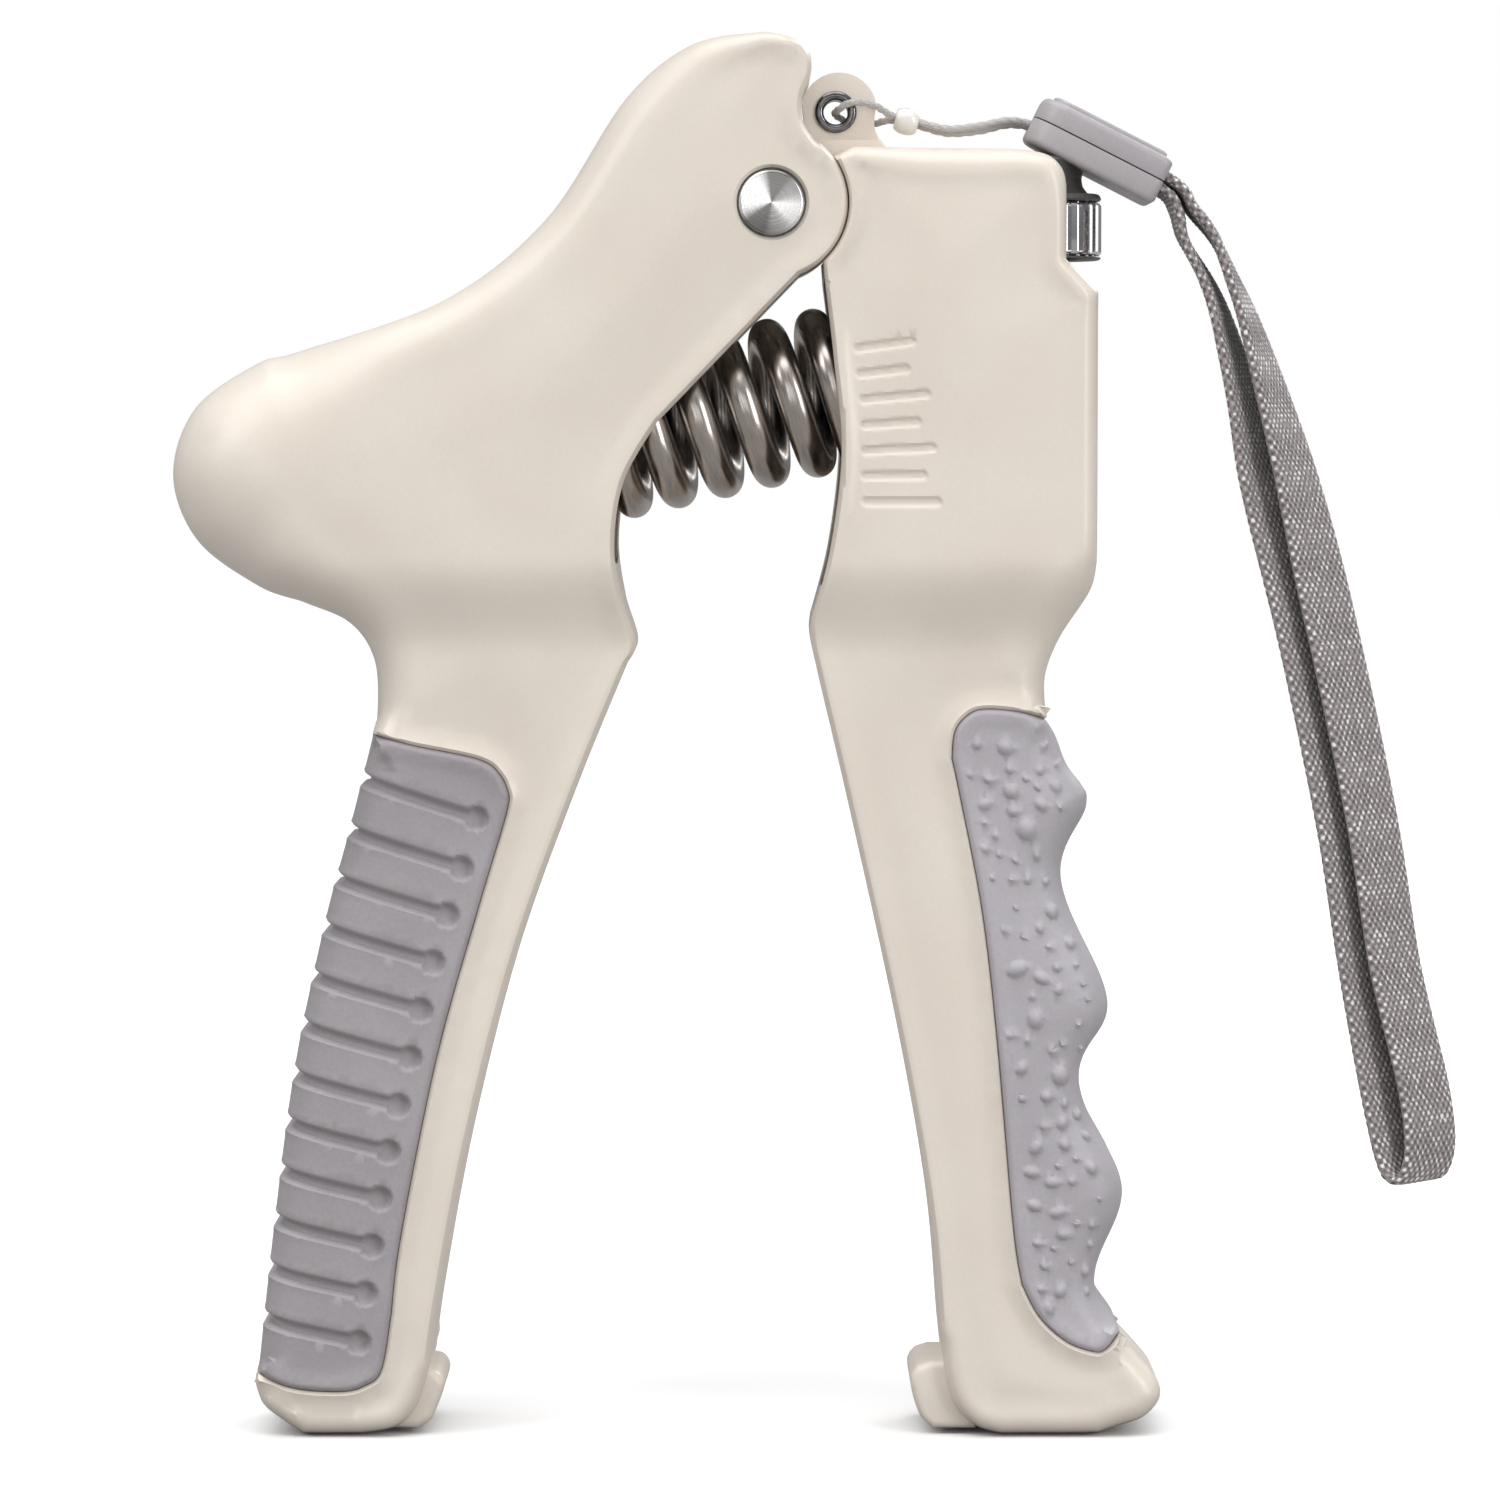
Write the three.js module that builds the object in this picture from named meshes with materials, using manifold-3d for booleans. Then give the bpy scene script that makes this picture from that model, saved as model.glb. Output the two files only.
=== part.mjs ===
// Adjustable coil-spring hand gripper with a wrist strap. Millimetres, +Z up, +X towards the
// adjuster side, -Y towards the front. The gripper stands on its two feet at z = 0.
// The left handle swings on the pivot; the knob drives a carriage that moves the spring's seat.
import * as THREE from "three";
import { mergeVertices } from "three/addons/utils/BufferGeometryUtils.js";
import Module from "manifold-3d";

const wasm = await Module();
wasm.setup();

// ---------------------------------------------------------------- driving dimensions
const GAP = 0.3; // clearance between two pieces that touch on the real object
const SEAM = 0.15; // half the gap between a front and a back shell
const HOUSING_HALF = 14; // half depth of the upper bodies
const LEG_HALF = 11; // half depth of the legs
const GRIP_HALF = 11.3; // half depth of the soft grips
const CAVITY_HALF = 11.2; // half depth of the hollows in the upper bodies
const TANG_HALF = 7.7; // half depth of the rib that carries each soft grip
const SHELL_EDGE = 1.1; // edge rounding of the upper bodies
const LEG_EDGE = 1.1; // edge rounding of the legs
const GRIP_EDGE = 0.5; // edge rounding of the soft grips

const PIVOT = { x: 12.42, z: 146.52 };
const HEAD_R = 9; // round of the left handle's head about the pivot
const SOCKET_R = 9.3; // round of the right housing about the pivot
const PIN_R = 2.4;
const PIN_HEAD_R = 3.85;
const TONGUE_HALF = 4.6; // half thickness of the hinge tongue
const SLOT_HALF = 5.9; // half width of the slot between the left cheeks
const LUG = { x: 20.5, z: 157.8, r: 4.5, half: 2.2 };
const EYELET = { x: 20.1, z: 157.6, outer: 2.1, hole: 1.45 };

const SPRING_SEAT = { x: -10.5, z: 118 }; // middle of the spring's fixed end
const SPRING_TILT = THREE.MathUtils.degToRad(12.4); // rise of the spring's axis to the right
const SPRING_LENGTH = 35.8; // between the two seats
const COIL_R = 7.95; // mean radius of the coils
const WIRE_R = 2.05;
const PITCH = 5.7;
const SEAT_PLUG_R = 5.8;
const SEAT_FLANGE_R = 9.6;
const SEAT_FLANGE = 1.6;

const KNOB = { x: 43.9, r: 8, low: 140, high: 147.9 };
const NECK_R = 6.1;
const SCREW_R = 2.4;
const FASTENER = { shank: 1.25, head: 2.1, headHeight: 1.8, length: 22 };

const SLIDER = { x: 51.4, z: 153.1, length: 17.2, thickness: 6.8, width: 12 };
const SLIDER_TILT = THREE.MathUtils.degToRad(-27);
const CORD_R = 0.42;
const WEB_WIDTH = 10;
const WEB_THICKNESS = 1.2;

// Places of the shell screws, as x and z.
const LEFT_SCREWS = [[-6, 147], [-47, 114], [-16, 96.5], [-19.8, 62], [-31, 10.2]];
const RIGHT_SCREWS = [[26, 145.3], [31.4, 145.3], [27, 95.5], [31, 58], [37.5, 14]];

// ---------------------------------------------------------------- colours
function finish(color, roughness, metalness = 0) {
  return new THREE.MeshStandardMaterial({ color, roughness, metalness });
}
const CREAM = finish(0xe1d9ce, 0.45);
const SOFT_GREY = finish(0x9f9a9e, 0.7);
const SLIDER_GREY = finish(0xb2acb2, 0.55);
const WEBBING = finish(0x968c8c, 0.9);
const CORD_GREY = finish(0xb9b4b2, 0.5);
const PEARL = finish(0xe8e4de, 0.4);
const STEEL = finish(0xa8a5a2, 0.35, 1);
const DARK_NICKEL = finish(0x6e6964, 0.3, 1);
const CHROME = finish(0xd8d8da, 0.12, 1);
const BRASS = finish(0xb8965a, 0.4, 1);
const BLACK = finish(0x2b2a29, 0.5);

// ---------------------------------------------------------------- solids
function solid(geometry) {
  const bare = geometry.clone();
  bare.deleteAttribute("normal");
  bare.deleteAttribute("uv");
  const merged = mergeVertices(bare, 1e-4);
  const vertProperties = merged.attributes.position.array;
  const triVerts = new Uint32Array(merged.index.array);
  return new wasm.Manifold(new wasm.Mesh({ numProp: 3, vertProperties, triVerts }));
}

function geometryOf(body) {
  const mesh = body.getMesh();
  const geometry = new THREE.BufferGeometry();
  geometry.setAttribute("position", new THREE.BufferAttribute(mesh.vertProperties, 3));
  geometry.setIndex(new THREE.BufferAttribute(mesh.triVerts, 1));
  geometry.computeVertexNormals();
  return geometry;
}

// An outline in x and z, pushed through from y = low to y = high, with rounded edges.
function plate(points, low, high, edge = 0) {
  const geometry = new THREE.ExtrudeGeometry(new THREE.Shape(points), {
    depth: high - low - 2 * edge,
    bevelEnabled: edge > 0,
    bevelThickness: edge,
    bevelSize: edge,
    bevelOffset: -edge,
    bevelSegments: 2,
    steps: 1,
  });
  geometry.rotateX(Math.PI / 2);
  geometry.translate(0, high - edge, 0);
  return solid(geometry);
}

// A closed outline in y and z, pushed along x.
function beam(points, low, high) {
  const shape = new THREE.Shape(points);
  const geometry = new THREE.ExtrudeGeometry(shape, { depth: high - low, bevelEnabled: false });
  const [x, y, z] = [[1, 0, 0], [0, 1, 0], [0, 0, 1]].map((v) => new THREE.Vector3(...v));
  geometry.applyMatrix4(new THREE.Matrix4().makeBasis(y, z, x));
  geometry.translate(low, 0, 0);
  return solid(geometry);
}

function block(low, high) {
  const size = high.map((value, i) => value - low[i]);
  const geometry = new THREE.BoxGeometry(...size);
  geometry.translate(...low.map((value, i) => value + size[i] / 2));
  return geometry;
}

// A turned piece about +Y from its profile of [radius, height].
function turned(profile, segments = 16) {
  const points = profile.map(([r, h]) => new THREE.Vector2(r, h));
  return new THREE.LatheGeometry(points, segments);
}

function rod(radius, low, high, segments = 16) {
  return turned([[0, low], [radius, low], [radius, high], [0, high]], segments);
}

function ring(inner, outer, low, high, segments = 16) {
  const profile = [[inner, low], [outer, low], [outer, high], [inner, high], [inner, low]];
  return turned(profile, segments);
}

// Turned pieces stand along Y at a point of the x-z plane, or along Z, or along the spring.
function acrossAt(geometry, x, z) {
  return geometry.translate(x, 0, z);
}

function uprightAt(geometry, x) {
  return geometry.rotateX(Math.PI / 2).translate(x, 0, 0);
}

function onSpringAxis(geometry) {
  geometry.rotateZ(-Math.PI / 2);
  geometry.rotateY(-SPRING_TILT);
  return geometry.translate(SPRING_SEAT.x, 0, SPRING_SEAT.z);
}

// A point that lies u along the spring's axis from its fixed seat and v square to it.
function bySpring(u, v) {
  const [c, s] = [Math.cos(SPRING_TILT), Math.sin(SPRING_TILT)];
  return [SPRING_SEAT.x + u * c - v * s, SPRING_SEAT.z + u * s + v * c];
}

// ---------------------------------------------------------------- outlines
function vectors(points) {
  return points.map(([x, z]) => new THREE.Vector2(x, z));
}

function smooth(points, perSpan = 2) {
  return new THREE.SplineCurve(vectors(points)).getPoints((points.length - 1) * perSpan);
}

function arc(centre, radius, from, to, count = 12) {
  const [a, b] = [from, to].map(THREE.MathUtils.degToRad);
  return Array.from({ length: count + 1 }, (_, i) => {
    const t = a + ((b - a) * i) / count;
    return new THREE.Vector2(centre.x + radius * Math.cos(t), centre.z + radius * Math.sin(t));
  });
}

// Joins stretches into one outline and drops points that coincide.
function outline(...stretches) {
  const all = stretches.flat();
  return all.filter((p, i) => p.distanceTo(all[(i + all.length - 1) % all.length]) > 0.05);
}

// The outline grown by a distance (shrunk where it is negative); it runs anticlockwise.
function grown(points, distance) {
  const count = points.length;
  return points.map((p, i) => {
    const into = p.clone().sub(points[(i + count - 1) % count]).normalize();
    const out = points[(i + 1) % count].clone().sub(p).normalize();
    const normal = new THREE.Vector2(into.y + out.y, -into.x - out.x).normalize();
    const reach = distance / Math.max(0.6, normal.x * into.y - normal.y * into.x);
    return p.clone().addScaledVector(normal, reach);
  });
}

const LEFT_OUTLINE = outline(
  arc(PIVOT, HEAD_R, -68, 50),
  smooth([[17.8, 153.4], [16.2, 155.8], [16, 158.8], [17.1, 162], [16.4, 165], [13.5, 166.2]], 2),
  smooth([[10.5, 166.4], [2.8, 165], [-4.8, 158.8], [-14.3, 144.6], [-26.6, 135], [-43.7, 129.2]]),
  smooth([[-48.3, 128.2], [-56.3, 122.4], [-59, 114.4], [-56.1, 106.6], [-48.3, 100.6]]),
  smooth([[-42.9, 99.4], [-37.6, 97], [-34.6, 92.2], [-34.3, 85.1]]),
  vectors([[-34, 83], [-40.1, 60], [-44, 40], [-48.2, 9.6]]),
  smooth([[-49, 5.8], [-47.9, 3.1], [-44.1, 0.4]], 2),
  vectors([[-43, 0], [-37.5, 0]]),
  smooth([[-36, 0.1], [-32.2, 1], [-29.9, 3.6], [-28.5, 7.7]], 2),
  smooth([[-27.3, 16.3], [-23.7, 35.3], [-18.2, 56.8], [-11.1, 76.6], [-4.7, 92.2]], 2),
  smooth([[-3.7, 94.6], [-5.3, 100], [-6.1, 106.6], [-4.9, 114], [-1, 120.8]], 2),
);

const LEFT_GRIP = outline(
  vectors([[-19.6, 79], [-22.1, 80.9], [-30.1, 82.6], [-34.9, 83.9]]),
  smooth([[-38, 71.8], [-40.8, 61.4], [-44.5, 44], [-47, 25.6], [-49, 7.6]], 2),
  vectors([[-44.5, 5.8], [-38.9, 5.4], [-36, 6.1], [-34, 8]]),
  smooth([[-32.8, 14.8], [-31.6, 24.2], [-27.3, 45.4], [-22.4, 62.9], [-18.9, 74.6]], 2),
  vectors([[-18.7, 77]]),
);
const LEFT_TANG = vectors([[-20, 79], [-31.3, 79.5], [-38, 53], [-44.4, 11], [-30, 9.5], [-20, 60]]);

const RIGHT_OUTLINE = outline(
  arc(PIVOT, SOCKET_R, 36, -48),
  smooth([[18.7, 137.4], [19.8, 128], [20.7, 117.4], [19.4, 106], [17.2, 97.5]], 2),
  smooth([[17.1, 95.2], [18.2, 90], [21.9, 74.2], [27.7, 47.8], [31.3, 27.4], [32.7, 11.8]], 2),
  smooth([[33.3, 7], [34.5, 3.4], [36.9, 1], [39.9, 0]], 2),
  vectors([[51.5, 0]]),
  smooth([[53.5, 0.7], [56.9, 1.9], [58.8, 4], [58.7, 6.2], [56.7, 8.8], [54.1, 11.2]], 2),
  vectors([[52.4, 13.4], [49.9, 42.3], [47.6, 66.7], [45.2, 84.6]]),
  smooth([[45, 86.4], [45.1, 91], [46.8, 95.3], [50.2, 100.8]], 2),
  vectors([[50.9, 104.2], [50.9, 136], [47.1, 139.9], [47.1, 148.6]]),
  smooth([[46.7, 150.4], [45.4, 151.9], [43.3, 152.6]], 2),
  vectors([[39.9, 152.9], [22, 153.1]]),
);

const RIGHT_GRIP = outline(
  smooth([[44.9, 85.6], [42, 86.5], [38.5, 86.9], [36.1, 86.5], [34.2, 84.4], [33.8, 81]], 2),
  smooth([[34.7, 76.9], [37.4, 63], [39.2, 47.8], [41.2, 25.3], [42.3, 18.2]], 2),
  smooth([[44.4, 14.3], [47.6, 11.4], [50.8, 10.2], [52.3, 10.5], [54.1, 12.4]], 2),
  smooth([[52.5, 18.2], [54.4, 29.4], [50.5, 42.3], [52.6, 51.7], [48.3, 66.7], [50, 75.3]], 4),
  smooth([[49.6, 77.6], [47.8, 80.4], [46, 84]], 2),
);
const RIGHT_TANG = vectors([[44, 81.5], [32, 82], [36, 50], [40, 17], [49.3, 16], [47.2, 42], [45, 66]]);

// ---------------------------------------------------------------- shared shell pieces
// The full outer form of a handle: a deep upper body that eases into a slimmer leg.
function handleForm(points) {
  const side = vectors([[-14, 175], [-14, 104], [-12.7, 98.5], [-10.6, 93.5]]);
  const mirrored = side.map((p) => new THREE.Vector2(-p.x, p.y)).reverse();
  const easing = beam([...side, ...mirrored], -70, 70);
  const upper = plate(points, -HOUSING_HALF, HOUSING_HALF, SHELL_EDGE).intersect(easing);
  return plate(points, -LEG_HALF, LEG_HALF, LEG_EDGE).add(upper);
}

// The space a soft grip takes out of a handle, leaving the tang that it is moulded over.
function gripSpace(grip, tang) {
  const space = plate(grown(grip, GAP), -HOUSING_HALF, HOUSING_HALF);
  return space.subtract(plate(tang, -TANG_HALF, TANG_HALF));
}

function softGrip(grip, tang) {
  const pad = plate(grip, -GRIP_HALF, GRIP_HALF, GRIP_EDGE);
  return pad.subtract(plate(grown(tang, GAP), -TANG_HALF - GAP, TANG_HALF + GAP));
}

function halfOf(form, sign) {
  const [low, high] = sign < 0 ? [-30, -SEAM] : [SEAM, 30];
  return form.intersect(solid(block([-80, low, -5], [80, high, 180])));
}

// A shell screw comes in from the back; seat is the y of the surface that its head sits in.
function screwGeometry(seat) {
  const top = seat - 0.6;
  const under = top - FASTENER.headHeight;
  const tip = top - FASTENER.length + (HOUSING_HALF - seat);
  return turned([
    [0, tip],
    [FASTENER.shank, tip],
    [FASTENER.shank, under],
    [FASTENER.head, under],
    [FASTENER.head, top],
    [0, top],
  ], 8);
}

function screwSeat(z) {
  return z > 100 ? HOUSING_HALF : LEG_HALF;
}

function screwHole([x, z]) {
  const seat = screwSeat(z);
  const under = seat - 0.6 - FASTENER.headHeight - GAP;
  const tip = under - FASTENER.length - GAP + (HOUSING_HALF - seat);
  const shank = FASTENER.shank + GAP;
  const head = FASTENER.head + GAP;
  const profile = [[0, tip + 1.2], [shank, tip + 1.2], [shank, under], [head, under]];
  return solid(acrossAt(turned([...profile, [head, 20], [0, 20]], 8), x, z));
}

function screwBoss([x, z]) {
  return solid(acrossAt(rod(3.4, -CAVITY_HALF - 1, CAVITY_HALF + 1, 10), x, z));
}

function joined(solids) {
  return solids.reduce((whole, piece) => whole.add(piece));
}

// ---------------------------------------------------------------- left handle
const LEFT_BUMPER = outline(
  vectors([[-34, 0.5], [-29.6, 0.5]]),
  smooth([[-28.2, 1.6], [-27.1, 4.2], [-26.7, 6], [-27.5, 7.3], [-29.5, 7.7]], 2),
  vectors([[-34, 7.7]]),
);
const RIGHT_BUMPER = outline(
  vectors([[37, 8.6], [31.5, 8.6]]),
  smooth([[30, 8.1], [29.1, 6.8], [29.4, 4.4], [30.4, 1.8], [31.8, 0.5]], 2),
  vectors([[37, 0.5]]),
);
const BUMPER_HALF = 8;

function bumper(points) {
  return plate(points, -BUMPER_HALF, BUMPER_HALF, 0.8);
}

function bumperSpace(points) {
  return plate(grown(points, GAP), -BUMPER_HALF - GAP, BUMPER_HALF + GAP);
}

// The hollow of the palm horn, behind the wall that the spring seat bears on.
function hornHollow() {
  const points = outline(
    smooth([[-12, 141], [-26, 131.6], [-43.7, 125.9], [-52, 122], [-55.6, 114.4]]),
    smooth([[-51.5, 106.2], [-42, 102.6], [-30, 101.6], [-15.2, 101.6]], 2),
    vectors([bySpring(-4.9, -13.5), bySpring(-4.9, 13)]),
  );
  return plate(points, -CAVITY_HALF, CAVITY_HALF);
}

// The channel that the spring lies in, open towards the right handle.
function springChannel() {
  const points = vectors([
    bySpring(-SEAT_FLANGE - GAP, -12),
    [-3, 104],
    [40, 104],
    [40, 137.2],
    [14, 137.2],
    [4, 134.5],
    bySpring(-SEAT_FLANGE - GAP, 11.5),
  ]);
  return plate(points, -CAVITY_HALF, CAVITY_HALF);
}

// The slot between the two cheeks, which clears the hinge tongue and its strap lug.
function cheekSlot() {
  const disc = plate(arc(PIVOT, SOCKET_R + 0.4, 0, 337.5, 15), -SLOT_HALF, SLOT_HALF);
  const lug = plate(arc(LUG, LUG.r + 0.7, 0, 330, 11), -SLOT_HALF, SLOT_HALF);
  return disc.add(lug);
}

function pinBore() {
  const half = HOUSING_HALF - 1.2;
  const shaft = rod(PIN_R + GAP, -half - 1, half + 1);
  const front = rod(PIN_HEAD_R + 0.2, -20, -half);
  const back = rod(PIN_HEAD_R + 0.2, half, 20);
  return joined([shaft, front, back].map((g) => solid(acrossAt(g, PIVOT.x, PIVOT.z))));
}

function leftForm() {
  const bosses = joined(LEFT_SCREWS.slice(0, 2).map(screwBoss));
  const spaces = [
    gripSpace(LEFT_GRIP, LEFT_TANG),
    hornHollow().subtract(bosses),
    springChannel(),
    cheekSlot(),
    pinBore(),
    bumperSpace(LEFT_BUMPER),
    ...LEFT_SCREWS.map(screwHole),
  ];
  return spaces.reduce((form, space) => form.subtract(space), handleForm(LEFT_OUTLINE));
}

// ---------------------------------------------------------------- right handle
// The hollow that the carriage runs in, with its window towards the spring.
function carriageHollow() {
  const room = vectors([[23.5, 101], [40.5, 101], [46, 105.5], [48.6, 108], [48.6, 137.6], [23.5, 137.6]]);
  const window = vectors([[10, 101.5], [25, 101.5], [25, 137.4], [10, 137.4]]);
  const hollow = plate(room, -CAVITY_HALF, CAVITY_HALF);
  return hollow.add(plate(window, -CAVITY_HALF, CAVITY_HALF));
}

function tongueOutline() {
  return outline(
    arc(PIVOT, 8, 95, 268, 14),
    smooth([[15.5, 139.2], [19, 140.2], [24, 140.2]], 2),
    vectors([[34.8, 140.2], [34.8, 150.4], [30, 150.4]]),
    smooth([[26.6, 152.6], [24.8, 155.4], [24.9, 158.2]], 2),
    arc(LUG, LUG.r, 15, 170, 8),
    smooth([[16.4, 156], [15.6, 154.8], [14, 154.3]], 2),
  );
}

function hingeTongue() {
  const body = plate(tongueOutline(), -TONGUE_HALF, TONGUE_HALF);
  const thin = block([10, LUG.half, 154.2], [30, 9, 170]);
  const front = block([10, -9, 154.2], [30, -LUG.half, 170]);
  const bores = [
    solid(acrossAt(rod(3.9, -9, 9), PIVOT.x, PIVOT.z)),
    solid(acrossAt(rod(EYELET.outer - 0.1, -9, 9), EYELET.x, EYELET.z)),
    ...RIGHT_SCREWS.slice(0, 2).map(screwHole),
  ];
  return [solid(thin), solid(front), ...bores].reduce((form, cut) => form.subtract(cut), body);
}

function tongueSpace() {
  const room = vectors([[22.5, 139.9], [35.1, 139.9], [35.1, 150.7], [22.5, 150.7]]);
  const clamps = joined(RIGHT_SCREWS.slice(0, 2).map(screwBoss));
  const slim = plate(grown(tongueOutline(), GAP), -TONGUE_HALF - GAP, TONGUE_HALF + GAP);
  return plate(room, -CAVITY_HALF, CAVITY_HALF).subtract(clamps).add(slim);
}

// The well of the knob, open to the right and, round the neck, to the top.
function knobWell() {
  const well = rod(KNOB.r + 0.35, KNOB.low - 0.4, KNOB.high + GAP, 24);
  const throat = rod(NECK_R + GAP, KNOB.high, 170, 20);
  return solid(uprightAt(well, KNOB.x)).add(solid(uprightAt(throat, KNOB.x)));
}

const BEARING = { inner: SCREW_R + GAP, outer: 3.9, top: [137.9, 139.5], foot: [96.6, 100.8] };

function screwTunnel() {
  return solid(uprightAt(rod(BEARING.outer + GAP, BEARING.foot[0] - GAP, 139.9), KNOB.x));
}

function rightForm() {
  const spaces = [
    gripSpace(RIGHT_GRIP, RIGHT_TANG),
    carriageHollow(),
    tongueSpace(),
    knobWell(),
    screwTunnel(),
    bumperSpace(RIGHT_BUMPER),
    ...RIGHT_SCREWS.map(screwHole),
    ...scaleMarks(),
  ];
  return spaces.reduce((form, space) => form.subtract(space), handleForm(RIGHT_OUTLINE));
}

// Seven shallow bars on the front, the long and short marks of the strength scale.
function scaleMarks() {
  const lengths = [9.3, 7.7, 8.8, 7.1, 8.3, 6.3, 7.3];
  const starts = [23.1, 23, 23, 22.9, 22.8, 22.4, 22.1];
  return lengths.map((length, i) => {
    const bar = block([0, -HOUSING_HALF - 1, -0.5], [length, -HOUSING_HALF + 0.4, 0.5]);
    bar.rotateY(-THREE.MathUtils.degToRad(1.3 * i));
    return solid(bar.translate(starts[i], 0, 111.4 + 3 * i));
  });
}

// ---------------------------------------------------------------- hinge pieces
function pivotPin() {
  const half = HOUSING_HALF - 1.2;
  const profile = [[0, -half - 1.1], [PIN_HEAD_R, -half - 1.1], [PIN_HEAD_R, -half - 0.1]];
  return acrossAt(turned([...profile, [PIN_R, -half - 0.1], [PIN_R, half], [0, half]], 20), PIVOT.x, PIVOT.z);
}

function pivotCap() {
  const half = HOUSING_HALF - 1.2;
  const profile = [[0, half + 0.5], [0, half + 1.1], [PIN_HEAD_R, half + 1.1], [PIN_HEAD_R, half + 0.1]];
  const mouth = [[PIN_R + GAP, half + 0.1], [PIN_R + GAP, half + 0.5], [0, half + 0.5]];
  return acrossAt(turned([...mouth.reverse(), ...profile.slice(1).reverse()], 20), PIVOT.x, PIVOT.z);
}

function pivotWasher(sign) {
  const [low, high] = sign < 0 ? [-5.6, -4.9] : [4.9, 5.6];
  return acrossAt(ring(PIN_R + GAP, 5.4, low, high), PIVOT.x, PIVOT.z);
}

function pivotBush() {
  return acrossAt(ring(PIN_R + 0.25, 3.6, -TONGUE_HALF, TONGUE_HALF), PIVOT.x, PIVOT.z);
}

function strapEyelet() {
  const edge = LUG.half;
  const wall = EYELET.outer - 0.4;
  const profile = [
    [EYELET.hole, -edge - 0.45],
    [EYELET.outer + 0.4, -edge - 0.45],
    [EYELET.outer + 0.4, -edge - 0.15],
    [wall, -edge - 0.15],
    [wall, edge + 0.15],
    [EYELET.outer + 0.4, edge + 0.15],
    [EYELET.outer + 0.4, edge + 0.45],
    [EYELET.hole, edge + 0.45],
    [EYELET.hole, -edge - 0.45],
  ];
  return acrossAt(turned(profile, 20), EYELET.x, EYELET.z);
}

// ---------------------------------------------------------------- spring and its seats
class SpringCoil extends THREE.Curve {
  // Two nearly closed end turns and open turns between them, along +Y.
  getPoint(t) {
    const closed = 0.8;
    const travel = SPRING_LENGTH - 2 * GAP - 2 * WIRE_R;
    const closedRise = closed * 2 * WIRE_R * 1.03;
    const open = (travel - 2 * closedRise) / PITCH;
    const turn = t * (open + 2 * closed);
    const inOpen = THREE.MathUtils.clamp(turn - closed, 0, open);
    const height = inOpen * PITCH + ((turn - inOpen) * closedRise) / closed;
    const angle = 2 * Math.PI * (0.374 - turn);
    const y = GAP + WIRE_R + height;
    return new THREE.Vector3(COIL_R * Math.cos(angle), y, COIL_R * Math.sin(angle));
  }
}

function mainSpring() {
  const section = new THREE.Shape(arc({ x: 0, z: 0 }, WIRE_R, 0, 315, 7));
  const options = { steps: 76, extrudePath: new SpringCoil(), bevelEnabled: false };
  return onSpringAxis(new THREE.ExtrudeGeometry(section, options));
}

// A flange and a domed plug that centres the coil; facing is the end that it looks to.
function seatProfile() {
  const plug = [[SEAT_PLUG_R, 0], [SEAT_PLUG_R, 3], [SEAT_PLUG_R - 1.6, 4.6], [0, 5.2]];
  return [[0, -SEAT_FLANGE], [SEAT_FLANGE_R, -SEAT_FLANGE], [SEAT_FLANGE_R, 0], ...plug];
}

function fixedSeat() {
  return onSpringAxis(turned(seatProfile(), 18));
}

function carriage() {
  const pad = turned(seatProfile(), 18).rotateX(Math.PI).translate(0, SPRING_LENGTH, 0);
  const spine = vectors([
    [27.4, 119.6], [48.2, 119.6], [48.2, 131.6], [25.6, 131.6], bySpring(36.4, 4), bySpring(36.4, -5),
  ]);
  const bar = plate(spine, -CAVITY_HALF + 0.4, CAVITY_HALF - 0.4, 0.8);
  const bore = solid(uprightAt(rod(4.5, 110, 140), KNOB.x));
  return bar.add(solid(onSpringAxis(pad))).subtract(bore);
}

// ---------------------------------------------------------------- adjuster
function knobSleeve() {
  const ridges = 24;
  const points = Array.from({ length: ridges * 2 }, (_, i) => {
    const angle = (Math.PI * i) / ridges;
    const radius = i % 2 ? KNOB.r - 0.45 : KNOB.r;
    return new THREE.Vector2(radius * Math.cos(angle), radius * Math.sin(angle));
  });
  const shape = new THREE.Shape(points);
  shape.holes.push(new THREE.Path(arc({ x: 0, z: 0 }, 5.8, 345, 0, 23)));
  const height = KNOB.high - KNOB.low - 1.5;
  const geometry = new THREE.ExtrudeGeometry(shape, { depth: height, bevelEnabled: false });
  return geometry.translate(KNOB.x, 0, KNOB.low + 0.5);
}

function knobCore() {
  const top = KNOB.high;
  const profile = [
    [SCREW_R + GAP, KNOB.low],
    [5.4, KNOB.low],
    [5.4, top - 0.7],
    [KNOB.r, top - 0.7],
    [KNOB.r, top - 0.2],
    [NECK_R, top],
    [NECK_R, top + 1.5],
    [3, top + 3.1],
    [0, top + 4.6],
    [0, top - 2],
    [SCREW_R + GAP, top - 2],
    [SCREW_R + GAP, KNOB.low],
  ];
  return uprightAt(turned(profile, 24), KNOB.x);
}

function leadScrew() {
  const [top, foot] = [KNOB.high - 2.3, BEARING.foot[0]];
  return uprightAt(rod(SCREW_R, foot, top, 16), KNOB.x);
}

function carriageNut() {
  const hexagon = new THREE.Shape(arc({ x: 0, z: 0 }, 4.2, 0, 300, 5));
  hexagon.holes.push(new THREE.Path(arc({ x: 0, z: 0 }, SCREW_R + GAP, 337.5, 0, 15)));
  const geometry = new THREE.ExtrudeGeometry(hexagon, { depth: 10.4, bevelEnabled: false });
  return geometry.translate(KNOB.x, 0, 120.4);
}

function screwBearing([low, high]) {
  return uprightAt(ring(BEARING.inner, BEARING.outer, low, high), KNOB.x);
}

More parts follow.
